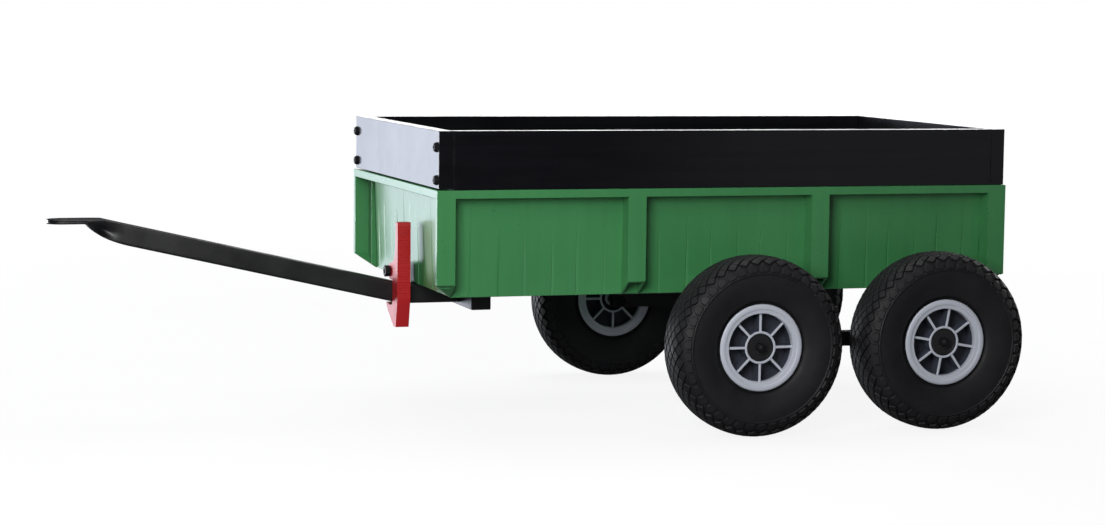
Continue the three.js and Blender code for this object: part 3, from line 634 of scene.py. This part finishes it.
def build_tub():
    foot_top = tub_low.z + POST_FOOT
    corners, hollows = [], []
    for side in (-1, 1):
        for end in (-1, 1):
            solids, hollow = corner_post(end, side)
            corners += solids
            hollows.append(hollow)
    envelope = tapered(INSET_BOTTOM - 0.001, 0.0, tub_low.z, foot_top)
    above = block(*footprint(0.0), (foot_top - 0.00001, tub_high.z))
    envelope = combine("envelope", envelope, joined=[above])
    corners = combine(
        "corners", corners[0], joined=corners[1:], common=[envelope], removed=hollows)
    posts = [
        hollow_post(tub_low.x + post, side) for side in (-1, 1) for post in MID_POSTS]

    core = tapered(INSET_BOTTOM, INSET_TOP, tub_low.z, tub_high.z - 0.002, 0.0012)
    core = combine("core", core, removed=plank_grooves())
    rim = block(*footprint(0.0), (tub_high.z - RIM_BAND, tub_high.z), 0.0011, 3)
    under_rim = block(*footprint(RIM_LIP), (tub_high.z - 2 * RIM_BAND, tub_high.z - TUB_WALL))
    rim = combine("rim", rim, removed=[under_rim])
    cavity = tapered(
        INSET_BOTTOM + TUB_WALL, INSET_TOP + TUB_WALL,
        tub_low.z + TUB_WALL, tub_high.z + 0.03, 0.008, 5)
    tub = combine(
        "trailer_tub", core, joined=[rim, corners] + posts, removed=[cavity])
    shade_and_place(tub, "tub", "tub_green", "tub", 40.0)


# ---------- boards
def build_board(side):
    node, name = f"{side}_board", f"{side}_board_film"
    low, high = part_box(node)
    board = block((low.x, high.x), (low.y, high.y), (low.z, high.z), 0.0006, 3)
    if side == "rear":
        sinks = []
        for screw in (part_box(n) for n in frame["nodes"] if n.startswith("rear_screw_")):
            sink = lathe([(0.0, -COUNTERBORE), (0.0055, -COUNTERBORE), (0.0055, 0.002), (0.0, 0.002)], 40)
            middle = (screw[0] + screw[1]) / 2
            sink.matrix_world = set_at((high.x, middle.y, middle.z), -90)
            sinks.append(sink)
        board = combine(name, board, removed=sinks)
    board.name = name
    shade_and_place(board, "tub", "board_black", node)


def flush_head():
    """A flat head with a hexagon socket, sunk below the board's face at y = 0."""
    top, under, radius = 0.0003, COUNTERBORE - 0.0002, 0.0050
    head = lathe([
        (0.0, top), (radius - 0.0004, top), (radius, top + 0.0004), (radius, under), (0.0, under)], 40)
    socket = prism(arc((0.0, 0.0), 0.0022, 30, 330, 5), (-0.001, top + 0.0018), "y")
    return combine("flush_head", head, removed=[socket])


def button_head(radius, height):
    """A button head with a hexagon socket and a flange, its seat at y = 0 and facing -Y."""
    seat = 0.0022
    head = lathe([
        (0.0, 0.0), (radius, 0.0), (radius, -seat), (radius - 0.0006, -seat - 0.0006),
        (radius - 0.0011, -height + 0.0016), (radius - 0.0019, -height + 0.0006),
        (radius - 0.0031, -height), (0.0, -height)], 48)
    socket = prism(arc((0.0, 0.0), 0.0026, 30, 330, 5), (-height - 0.002, -height + 0.0028), "y")
    flutes = []
    for x, z in arc((0.0, 0.0), radius * 0.97, 0, 315, 7):
        flute = lathe([
            (0.0, -height - 0.001), (0.0015, -height - 0.001), (0.0015, -0.0012), (0.0, -0.0012)], 12)
        flute.location = (x, 0.0, z)
        flutes.append(flute)
    return combine("button_head", head, removed=[socket] + flutes)


def build_screws():
    """The eight board screws: fluted button heads in front, sunk flat heads at the rear."""
    for end in ("front", "rear"):
        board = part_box(f"{end}_board")
        for side in ("left", "right"):
            for level in ("lower", "upper"):
                node = f"{end}_screw_{side}_{level}"
                low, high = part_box(node)
                if end == "front":
                    face, head, start = board[0].x, button_head((high.y - low.y) / 2, 0.0055), -0.001
                else:
                    face, head, start = board[1].x, flush_head(), COUNTERBORE - 0.001
                shank = lathe([(0.0, start), (0.0024, start), (0.0024, 0.046), (0.0, 0.049)], 24)
                screw = merged(f"{node}_bolt", [head, shank])
                middle = (low + high) / 2
                screw.matrix_world = (
                    set_at((face, middle.y, middle.z), -90 if end == "front" else 90)
                    @ Matrix.Rotation(rng.uniform(0, 1), 4, "Y"))
                shade_and_place(screw, "tub", "black_fastener", node)


# ---------- drawbar
def smooth(value):
    value = min(1.0, max(0.0, value))
    return value * value * (3 - 2 * value)


def build_drawbar():
    """Square tube pressed flat into the hitch tongue: one loft of rounded sections."""
    low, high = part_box("drawbar")
    tip, rear, half_wide, top_z = low.x, high.x, high.y, high.z
    frame_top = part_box("front_crossbar")[1].z
    tip_centre = tip + half_wide
    flat_end, press_end = tip + FLAT_END, tip + PRESS_END
    angle = math.atan(TUBE_SLOPE)
    depth = TUBE / math.cos(angle)
    bend = rear - DRAWBAR_BEND
    lower_bend = bend - TUBE * math.tan(angle / 2)

    def swell(x):
        """The underside between the flat tongue and the full tube, as a quadratic curve."""
        knee = flat_end + 0.016
        start, end = top_z - TONGUE_THICKNESS, frame_top + TUBE_SLOPE * (bend - press_end) - depth
        middle = frame_top + TUBE_SLOPE * (bend - knee) - depth
        a, b, c = flat_end - 2 * knee + press_end, 2 * (knee - flat_end), flat_end - x
        t = (-b + math.sqrt(b * b - 4 * a * c)) / (2 * a)
        return (1 - t) ** 2 * start + 2 * t * (1 - t) * middle + t * t * end

    def section(x):
        """Top, bottom, half width, side pinch and side crease at a station."""
        slope_top = frame_top + TUBE_SLOPE * (bend - x)
        top = min(top_z, slope_top) if x < bend else frame_top
        bottom = frame_top - TUBE if x > lower_bend else slope_top - depth
        if x < flat_end:
            bottom = top_z - TONGUE_THICKNESS
        elif x < press_end:
            bottom = swell(x)
        half = half_wide + (TUBE / 2 - half_wide) * smooth((x - flat_end) / (press_end - 0.01 - flat_end))
        if x < tip_centre:
            half = math.sqrt(max(half_wide ** 2 - (tip_centre - x) ** 2, 1e-8))
        pinch = 0.0078 * math.exp(-(((x - flat_end - 0.024) / 0.0145) ** 2))
        crease = 0.0007 * (1 - smooth((x - flat_end) / (press_end - flat_end)))
        return top, bottom, half, pinch, crease

    angles = (2, 8, 16, 26, 38, 50, 62, 75, 90)
    stations = [tip_centre - half_wide * math.cos(math.radians(a)) for a in angles]
    stations += [tip_centre + 0.008 * i for i in range(1, 4)]
    stations += [flat_end + (press_end - flat_end) * i / 22 for i in range(25)]
    stations += [press_end + 0.03 + (lower_bend - 0.012 - press_end - 0.03) * i / 8 for i in range(9)]
    stations += [bend + d for d in (-0.006, -0.0035, 0.0, 0.0035, 0.008, 0.03, 0.06)] + [rear]
    stations = sorted(set(round(s, 6) for s in stations))

    corner, quarter, along_side = 0.0035, 5, 7
    bm = bmesh.new()
    rings = []
    for x in stations:
        top, bottom, half, pinch, crease = section(x)
        height = top - bottom
        radius = min(corner, height * 0.42, half * 0.9)
        middle = (top + bottom) / 2
        inner_top, inner_bottom = top - radius, bottom + radius
        right = arc((half - radius, inner_top), radius, 90, 0, quarter)
        for i in range(1, along_side):
            right.append((half, inner_top + (inner_bottom - inner_top) * i / along_side))
        right += arc((half - radius, inner_bottom), radius, 0, -90, quarter)
        shaped = []
        for y, z in right:
            rise = (z - middle) / (height / 2)
            inward = pinch * math.exp(-(((rise + 0.2) / 0.58) ** 2))
            inward += crease * math.exp(-((rise / 0.25) ** 2))
            shaped.append((max(y - inward * min(1.0, half / 0.012), 0.0001), z))
        loop = shaped + [(-y, z) for y, z in reversed(shaped)]
        rings.append([bm.verts.new((x, y, z)) for y, z in loop])
    sides(bm, rings)
    caps(bm, rings)
    tube = solid("tube", bm)

    half = TONGUE_THICKNESS / 2
    collar_end = half + 0.0009
    mouth = HOLE_RADIUS + 0.0012

    def upright(lower_half):
        """A turned piece through the hole, the same above the tongue's middle as below it."""
        piece = lathe(lower_half + [(r, -y) for r, y in reversed(lower_half)], 64)
        piece.matrix_world = (
            Matrix.Translation((tip_centre, 0, top_z - half)) @ Matrix.Rotation(math.radians(90), 4, "X"))
        return piece

    collar = upright([
        (0.0, -collar_end), (HOLE_RADIUS + 0.0018, -collar_end), (HOLE_RADIUS + 0.0030, -half + 0.0002)])
    drill = upright([
        (0.0, -0.02), (mouth, -0.02), (mouth, -collar_end - 0.0002), (HOLE_RADIUS, -half + 0.0006)])
    drawbar = combine("drawbar_tube", tube, joined=[collar], removed=[drill])
    shade_and_place(drawbar, "chassis", "black_steel", "drawbar", 32.0)


# ---------- latch
def latch_outline():
    """Outline across the trailer, in Y and Z, with fine ribs down the lever's outer side."""
    pivot_z = next(j for j in frame["joints"] if j["name"] == "latch_swing")["pos_m"][2]
    low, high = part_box("latch_lever")
    top = high.z
    outline = [(-0.0335, top), (-0.0455, top)]
    z = top - 0.004
    while z > 0.181:
        rib, depth = rng.uniform(0.0034, 0.0048), rng.uniform(0.0003, 0.0007)
        y = -0.046 - 0.0005 * (top - z) / (top - 0.176)
        outline += [(y, z), (y, z - rib * 0.62), (y + depth, z - rib * 0.75), (y + depth, z - rib * 0.9)]
        z -= rib
    outline += [(-0.0465, 0.176), (low.y + 0.0095, low.z), (-0.023, low.z)]
    outline += bezier((-0.023, low.z), (0.002, 0.147), (0.022, 0.1625), 8)[1:]
    outline += [(0.022, 0.1656)]
    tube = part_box("front_crossbar")[1].z - TUBE
    reach = math.hypot(TUBE / 2, pivot_z - tube) + 0.0006
    lean = math.degrees(math.asin((TUBE / 2 + 0.001) / reach))
    outline += arc((0.0, pivot_z), reach, -90 + lean, -90 - lean, 8)
    outline += [(-0.016, pivot_z - 0.012)]
    outline += arc((0.0, pivot_z), 0.012, -90, 90, 14)
    outline += bezier((0.0, pivot_z + 0.012), (-0.028, 0.228), (-0.031, 0.248), 8)[1:]
    return outline, pivot_z


def build_latch():
    low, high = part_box("latch_lever")
    outline, pivot_z = latch_outline()
    lever = prism(outline, (low.x, high.x), "x")
    round_faces(lever, 0.0009, 2, lambda face: abs(face.normal.x) > 0.9)
    bore = lathe([(0.0, -0.02), (0.0043, -0.02), (0.0043, 0.02), (0.0, 0.02)], 32)
    bore.matrix_world = set_at(((low.x + high.x) / 2, 0, pivot_z), 90)
    lever = combine("latch_lever_red", lever, removed=[bore])
    shade_and_place(lever, "latch", "latch_red", "latch_lever", 30.0)

    bolt_low, bolt_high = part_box("latch_bolt")
    radius = (bolt_high.y - bolt_low.y) / 2
    lobes = []
    for i in range(96):
        turn = 2 * math.pi * i / 96
        r = radius - 0.0011 * (0.5 + 0.5 * math.cos(9 * turn)) ** 2
        lobes.append((r * math.cos(turn), r * math.sin(turn)))
    crown = bolt_low.x - low.x + 0.0001
    knob = prism(lobes, (crown, -0.0003), "y")
    round_faces(knob, 0.0018, 3, lambda face: len(face.verts) > 20)
    dimple = lathe([
        (0.0, crown - 0.002), (0.0042, crown - 0.002), (0.0036, crown + 0.0010), (0.0, crown + 0.0014)], 40)
    knob = combine("knob", knob, removed=[dimple])
    length = bolt_high.x - low.x
    shank = lathe([
        (0.0, -0.0005), (0.004, -0.0005), (0.004, length - 0.0006), (0.0034, length), (0.0, length)], 32)
    bolt = merged("latch_bolt_knob", [knob, shank])
    bolt.matrix_world = set_at((low.x, 0, pivot_z), -90)
    shade_and_place(bolt, "chassis", "black_fastener", "latch_bolt")


# ---------- chassis
def build_chassis():
    steel = [
        ("crossbar_steel", "front_crossbar", "chassis", 0.0016),
        ("spine_steel", "chassis_spine", "chassis", 0.0012),
        ("carrier_steel", "axle_carrier", "chassis", 0.0008),
        ("bracket_steel", "latch_bracket", "chassis", 0.0008)]
    for piece, node, body, radius in (
            ("lug", "hinge_lug", "tub", 0.0008), ("strap", "board_strap", "tub", 0.0005)):
        steel += [(f"{piece}_{side}_steel", f"{node}_{side}", body, radius) for side in ("left", "right")]
    steel += [(f"beam_{side}_steel", f"bogie_beam_{side}", f"bogie_{side}", 0.0010)
              for side in ("left", "right")]
    for name, node, body, radius in steel:
        shade_and_place(refined(name, node, radius), body, "black_steel", node, 32.0)
    for name, node in (("bogie_axle_rod", "bogie_axle"), ("hinge_pin_rod", "hinge_pin")):
        low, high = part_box(node)
        radius, half = (high.x - low.x) / 2, high.y
        rod = lathe([
            (0.0, -half), (radius - 0.001, -half), (radius, -half + 0.001),
            (radius, half - 0.001), (radius - 0.001, half), (0.0, half)], 48)
        rod.name = name
        rod.location = ((low.x + high.x) / 2, 0, (low.z + high.z) / 2)
        shade_and_place(rod, "chassis", "zinc_steel", node)
    for side in ("left", "right"):
        node = f"axle_cap_{side}"
        low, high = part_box(node)
        radius, height = (high.x - low.x) / 2, high.y - low.y
        profile = [(0.0, 0.0), (radius, 0.0), (radius, height * 0.45)]
        profile += [(radius * math.cos(a), height * (0.45 + 0.55 * math.sin(a)))
                    for a in (math.radians(d) for d in range(10, 90, 10))]
        cap = lathe(profile + [(0.0, height)], 48)
        cap.name = f"{node}_dome"
        seat, turn = (low.y, 0) if side == "right" else (high.y, 180)
        cap.matrix_world = set_at(((low.x + high.x) / 2, seat, (low.z + high.z) / 2), turn)
        shade_and_place(cap, "chassis", "black_fastener", node)


# ---------- wheels
# Wheel pieces are built about the origin with +Y outwards, then set on their axles.
def tyre_outer():
    """Right half of the carcass's outer line, from the crown to the bead, as (radius, y)."""
    crown = [(0.1263, 0.0), (0.1262, 0.008), (0.1255, 0.0165), (0.1236, 0.0236)]
    shoulder = [(0.1206, 0.0286), (0.1168, 0.0318), (0.1130, 0.0338), (0.1092, 0.0348)]
    ridge = [(0.1082, 0.0364), (0.1070, 0.0371), (0.1056, 0.0370), (0.1044, 0.0359)]
    wall = [(0.1010, 0.0362), (0.0960, 0.0364), (0.0900, 0.0359), (0.0840, 0.0347)]
    bead = [(0.0760, 0.0325), (0.0700, 0.0302), (0.0672, 0.0285), (0.0660, 0.0262),
            (0.0648, 0.0238), (0.0600, 0.0232), (0.0525, 0.0232)]
    return crown + shoulder + ridge + wall + bead


def tread_line():
    """Radius and y at fine steps down the tread from its crown, with the arc length to each."""
    points = tyre_outer()[:9]
    fine = []
    for (r0, y0), (r1, y1) in zip(points[:-1], points[1:]):
        fine += [(r0 + (r1 - r0) * i / 6, y0 + (y1 - y0) * i / 6) for i in range(6)]
    fine.append(points[-1])
    lengths = [0.0]
    for (r0, y0), (r1, y1) in zip(fine[:-1], fine[1:]):
        lengths.append(lengths[-1] + math.hypot(r1 - r0, y1 - y0))
    return fine, lengths


def on_tread(along, across, height, line):
    """A point at an angle round the tyre, an arc length across it and a height above it."""
    fine, lengths = line
    sign = -1 if across < 0 else 1
    reach = min(abs(across), lengths[-1] - 1e-5)
    k = max(i for i, length in enumerate(lengths) if length <= reach)
    k = min(k, len(fine) - 2)
    t = (reach - lengths[k]) / (lengths[k + 1] - lengths[k])
    r = fine[k][0] + (fine[k + 1][0] - fine[k][0]) * t
    y = fine[k][1] + (fine[k + 1][1] - fine[k][1]) * t
    a, b = fine[max(k - 3, 0)], fine[min(k + 4, len(fine) - 1)]
    dr, dy = b[0] - a[0], b[1] - a[1]
    size = math.hypot(dr, dy)
    normal_r, normal_y = dy / size, -dr / size
    r, y = r + normal_r * height, y + normal_y * height
    return Vector((r * math.cos(along), sign * y, r * math.sin(along)))


def tread_block(bm, angle, across, outline, height, line):
    """A closed block with a chamfered top; its outline is in metres about its centre."""
    rings = []
    for shrink, rise in ((1.0, -0.0012), (0.98, height - 0.0007), (0.86, height)):
        rings.append([
            bm.verts.new(on_tread(
                angle + u * shrink / TYRE_RADIUS, across + v * shrink, rise, line))
            for u, v in outline])
    # The block's sides take the second material, a darker rubber that is painted shade.
    for flank in sides(bm, rings)[:len(outline)]:
        flank.material_index = 1
    top = rings[-1]
    centre = bm.verts.new(on_tread(angle, across, height, line))
    for i, vert in enumerate(top):
        bm.faces.new((vert, top[(i + 1) % len(top)], centre))
    bm.faces.new(rings[0])


def tyre_mesh():
    half = tyre_outer()
    inner = [(0.0525, 0.0180), (0.0840, 0.0300), (0.1120, 0.0240), (0.1220, 0.0)]
    profile = [(r, -y) for r, y in reversed(half)] + half[1:] + inner
    profile += [(r, -y) for r, y in reversed(inner[:-1])]
    carcass = lathe(profile, 96)
    # Carcass faces between the blocks take the darker rubber as painted shade.
    for face in carcass.data.polygons:
        if math.hypot(face.center.x, face.center.z) > TREAD_FOOT:
            face.material_index = 1
    line = tread_line()
    bm = bmesh.new()
    step = 2 * math.pi / TREAD_PITCHES
    long, wide = step * TYRE_RADIUS / 2 - 0.0014, TREAD_ROW - 0.0014
    diamond = [(-long, 0.0), (-long * 0.28, wide * 0.86), (long * 0.10, wide), (long, 0.0),
               (long * 0.28, -wide * 0.86), (-long * 0.10, -wide)]
    for row in range(-4, 5):
        shift = step / 2 if row % 2 else 0.0
        for i in range(TREAD_PITCHES):
            tread_block(bm, i * step + shift, row * TREAD_ROW, diamond, TREAD_HEIGHT, line)
    lug_wide = 0.0078
    lug = [(-long * 0.94, -lug_wide * 0.35), (-long * 0.88, lug_wide), (long * 0.80, lug_wide),
           (long * 0.94, -lug_wide * 0.35), (0.0, -lug_wide * 0.95)]
    for side in (-1, 1):
        outline = [(u, side * v) for u, v in lug]
        for i in range(TREAD_PITCHES):
            tread_block(bm, (i + 0.5) * step, side * 5.75 * TREAD_ROW, outline, TREAD_HEIGHT * 0.55, line)
    return mesh_of(merged("tyre_shape", [carcass, solid("blocks", bm)]))


def rim_mesh():
    """Moulded rim: rolled lips, a barrel, a closed web, and eight blades to the hub ring."""
    lip = [(0.0485, 0.0195), (0.0485, 0.0258), (0.0488, 0.0280), (0.0496, 0.0290), (0.0540, 0.0293),
           (0.0546, 0.0297), (0.0552, 0.0304), (0.0568, 0.0308), (0.0596, 0.0307), (0.0612, 0.0301),
           (0.0621, 0.0291), (0.0624, 0.0281), (0.0620, 0.0272), (0.0600, 0.0268), (0.0535, 0.0266),
           (0.0521, 0.0256)]
    profile = [(r, -y) for r, y in lip] + list(reversed(lip))
    barrel = lathe(profile, 96)

    def ring(inner, outer, half, fillet=0.0008):
        return lathe([
            (inner, -half + fillet), (inner + fillet, -half), (outer - fillet, -half),
            (outer, -half + fillet), (outer, half - fillet), (outer - fillet, half),
            (inner + fillet, half), (inner, half - fillet)], 72)

    web = lathe([(0.0100, -0.0015), (0.0500, -0.0015), (0.0500, 0.0015), (0.0100, 0.0015)], 72)
    hub = ring(0.0200, 0.0235, 0.0258)
    sleeve = ring(0.0090, 0.0130, 0.0200)
    blades = []
    for i in range(SPOKES):
        blade = block((0.0220, 0.0500), (-0.0250, 0.0250), (-0.0019, 0.0019), 0.0009, 2)
        blade.rotation_euler = (0, -2 * math.pi * i / SPOKES, 0)
        blades.append(blade)
    return mesh_of(combine("rim_shape", barrel, joined=[web, hub, sleeve] + blades))


def hub_cap_mesh():
    """Recessed disc with moulded rings round the nut."""
    return mesh_of(lathe([
        (0.0068, 0.0240), (0.0100, 0.0240), (0.0104, 0.0234), (0.0122, 0.0234), (0.0126, 0.0240),
        (0.0144, 0.0240), (0.0148, 0.0232), (0.0172, 0.0232), (0.0178, 0.0238), (0.0188, 0.0238),
        (0.0195, 0.0230), (0.0195, 0.0205), (0.0068, 0.0205)], 72))


def dome_nut_mesh():
    """Acorn nut: a chamfered hexagon with a dome."""
    body = prism(arc((0.0, 0.0), 0.0075, 0, 300, 5), (0.0245, 0.0305), "y", 0.0005, 2)
    chamfer = lathe([(0.0, 0.020), (0.0085, 0.020), (0.0085, 0.0291), (0.0066, 0.0306), (0.0, 0.0306)], 48)
    nut = combine("nut_body", body, common=[chamfer])
    dome = [(0.0, 0.0290), (0.0060, 0.0290), (0.0060, 0.0308)]
    turns = [math.radians(d) for d in range(12, 90, 12)]
    dome += [(0.0060 * math.cos(a), 0.0308 + 0.0044 * math.sin(a)) for a in turns]
    return mesh_of(combine("nut_shape", nut, joined=[lathe(dome + [(0.0, 0.0352)], 48)]))


def stub_axle_mesh():
    """Shouldered bolt from inside the beam to the nut."""
    axle = next(j for j in frame["joints"] if j["name"] == "wheel_spin_front_right")["pos_m"][1]
    inner, outer = (face.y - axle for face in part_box("bogie_beam_right"))
    return mesh_of(lathe([
        (0.0, inner - 0.004), (0.0092, inner - 0.004), (0.0100, inner - 0.0034), (0.0100, inner - 0.0003),
        (0.0060, inner - 0.0003), (0.0060, outer + 0.0003), (0.0096, outer + 0.0003),
        (0.0100, outer + 0.0007), (0.0100, -0.0267), (0.0096, -0.0263), (0.0060, -0.0263),
        (0.0060, 0.0242), (0.0040, 0.0242), (0.0040, 0.0305), (0.0, 0.0305)], 40))


def set_on_axle(name, mesh, centre, sign, turn=0.0):
    piece = link(name, mesh.copy())
    piece.data.transform(set_at(centre, 0 if sign > 0 else 180) @ Matrix.Rotation(turn, 4, "Y"))
    return piece


def paint_pocket_shade(rim, centre):
    """Painted shade in the rim's pockets: faces between the blades, near the web, take a darker grey than
    the outer faces.
    """
    rim.data.materials.append(MATERIALS["rim_pocket_shade"])
    for face in rim.data.polygons:
        offset = face.center - centre
        reach = math.hypot(offset.x, offset.z)
        if abs(offset.y) < 0.0190 and reach < 0.0495:
            face.material_index = 1


def build_wheels():
    meshes = {
        "tyre": (tyre_mesh(), "tyre_rubber", 34.0),
        "rim": (rim_mesh(), "rim_grey", 34.0),
        "hub_cap": (hub_cap_mesh(), "hub_black", 30.0),
    }
    nut, stub = dome_nut_mesh(), stub_axle_mesh()
    turns = {"front": 0.0, "rear": math.radians(-10)}
    for joint in frame["joints"]:
        if not joint["name"].startswith("wheel_spin_"):
            continue
        end, side = joint["name"].split("_")[2:]
        sign = -1 if side == "left" else 1
        key = f"{end}_{side}"
        centre = Vector(joint["pos_m"])
        for part, (mesh, slot, sharp) in meshes.items():
            piece = set_on_axle(f"{part}_{key}_shape", mesh, centre, sign, turns[end] * -sign)
            shade(piece, slot, sharp)
            # The rim's pockets get painted shade.
            if part == "rim":
                paint_pocket_shade(piece, centre)
            # The tyre's second material is the darker painted shade on the tread.
            if part == "tyre":
                piece.data.materials.append(MATERIALS["tread_painted_shade"])
            place(piece, joint["child"], f"{part}_{key}")
        for part, mesh in (("wheel_nut", nut), ("stub_axle", stub)):
            piece = set_on_axle(f"{part}_{key}_shape", mesh, centre, sign, 0.3)
            shade_and_place(piece, joint["parent"], "black_fastener", f"{part}_{key}", 34.0)


def dress_inner_nodes():
    """CAD nodes that stay as they are: inner tubes and bushes."""
    slots = {entry["node"]: entry["material_slot"] for entry in frame["record"]["subparts"]}
    for name, thing in frame["nodes"].items():
        if name.startswith(("inner_tube_", "wheel_bush_", "bogie_bush_")):
            thing.data.materials.clear()
            thing.data.materials.append(MATERIALS[slots[name]])


# ---------- studio
def area_light(name, at, aim, size, power, colour=(1.0, 1.0, 1.0)):
    data = bpy.data.lights.new(name, "AREA")
    data.shape = "RECTANGLE"
    data.size, data.size_y = size
    data.energy = power
    data.color = colour
    lamp = link(name, data)
    lamp.location = at
    lamp.rotation_mode = "QUATERNION"
    lamp.rotation_quaternion = (Vector(aim) - Vector(at)).to_track_quat("-Z", "Y")
    lamp.visible_camera = False


def build_studio():
    world = bpy.data.worlds.new("studio")
    world.use_nodes = True
    bpy.context.scene.world = world
    tree = world.node_tree
    wire = tree.links.new
    ambient = tree.nodes["Background"]
    ambient.inputs["Color"].default_value = (0.92, 0.96, 1.0, 1.0)
    ambient.inputs["Strength"].default_value = 0.05
    seen = tree.nodes.new("ShaderNodeBackground")
    seen.inputs["Color"].default_value = (1.0, 1.0, 1.0, 1.0)
    path = tree.nodes.new("ShaderNodeLightPath")
    mix = tree.nodes.new("ShaderNodeMixShader")
    wire(path.outputs["Is Camera Ray"], mix.inputs["Fac"])
    wire(ambient.outputs["Background"], mix.inputs[1])
    wire(seen.outputs["Background"], mix.inputs[2])
    wire(mix.outputs["Shader"], tree.nodes["World Output"].inputs["Surface"])

    # Name, place, aim, size, watts and, where it isn't white, colour.
    for light in (
            ("back_left_panel", (-1.70, 3.6, 0.55), (-0.1, 0.0, 0.3), (1.8, 2.6), 49, (0.80, 0.86, 1.0)),
            ("back_left_key", (-2.5, 2.6, 0.35), (-0.2, 0.0, 0.2), (1.0, 0.8), 98, (0.94, 0.96, 1.0)),
            ("back_right_strip", (1.7, 3.6, 0.68), (0.3, 0.0, 0.4), (2.6, 0.5), 15),
            ("overhead_softbox", (0.3, 0.8, 3.2), (0.2, 0.0, 0.2), (3.0, 2.4), 60),
            ("front_softbox", (-1.1, -2.9, 3.0), (0.15, 0.0, 0.25), (1.8, 1.5), 28),
            ("front_left_fill", (-0.95, -1.75, 0.8), (0.0, 0.0, 0.25), (0.8, 0.7), 26),
            ("front_right_card", (1.7, -2.6, 0.3), (0.5, 0.0, 0.35), (1.2, 0.8), 0.7),
            ("rear_fill", (2.8, 0.5, 1.1), (0.6, 0.0, 0.2), (1.2, 1.0), 26)):
        area_light(*light)

    bm = bmesh.new()
    bmesh.ops.create_circle(bm, cap_ends=True, radius=FLOOR_RADIUS, segments=96)
    floor = solid("studio_floor", bm)
    floor.location.z = -0.0005
    look = Shader("studio_paper", roughness=0.9, specular=0.2)
    look.colour(look.ramp(look.noise(3.0, 4.0), (0.3, 0.90), (0.7, 0.93)))
    look.fade_out(FLOOR_RADIUS, FLOOR_CLEAR)
    floor.data.materials.append(look.material)


def build_camera():
    """A long lens beside the trailer, a little ahead of its middle and slightly above it."""
    yaw, pitch, roll = (math.radians(v) for v in (17.725, 5.582, 0.667))
    forward = Vector((
        math.sin(yaw) * math.cos(pitch), math.cos(yaw) * math.cos(pitch), -math.sin(pitch)))
    right = Vector((math.cos(yaw), -math.sin(yaw), 0.0))
    up = right.cross(forward)
    level_right = right * math.cos(roll) + up * math.sin(roll)
    level_up = -right * math.sin(roll) + up * math.cos(roll)
    data = bpy.data.cameras.new("camera")
    data.lens = 83.96
    data.sensor_width = 36.0
    camera = link("camera", data)
    turn = Matrix((level_right, level_up, -forward)).transposed()
    camera.matrix_world = Matrix.Translation((-1.1213, -3.7108, 0.6025)) @ turn.to_4x4()
    bpy.context.scene.camera = camera


bpy.context.scene.view_settings.view_transform = "Standard"
bpy.context.scene.cycles.use_denoising = True

build_camera()
build_studio()
build_tub()
for side in ("front", "rear", "left", "right"):
    build_board(side)
build_screws()
build_drawbar()
build_latch()
build_chassis()
build_wheels()
dress_inner_nodes()
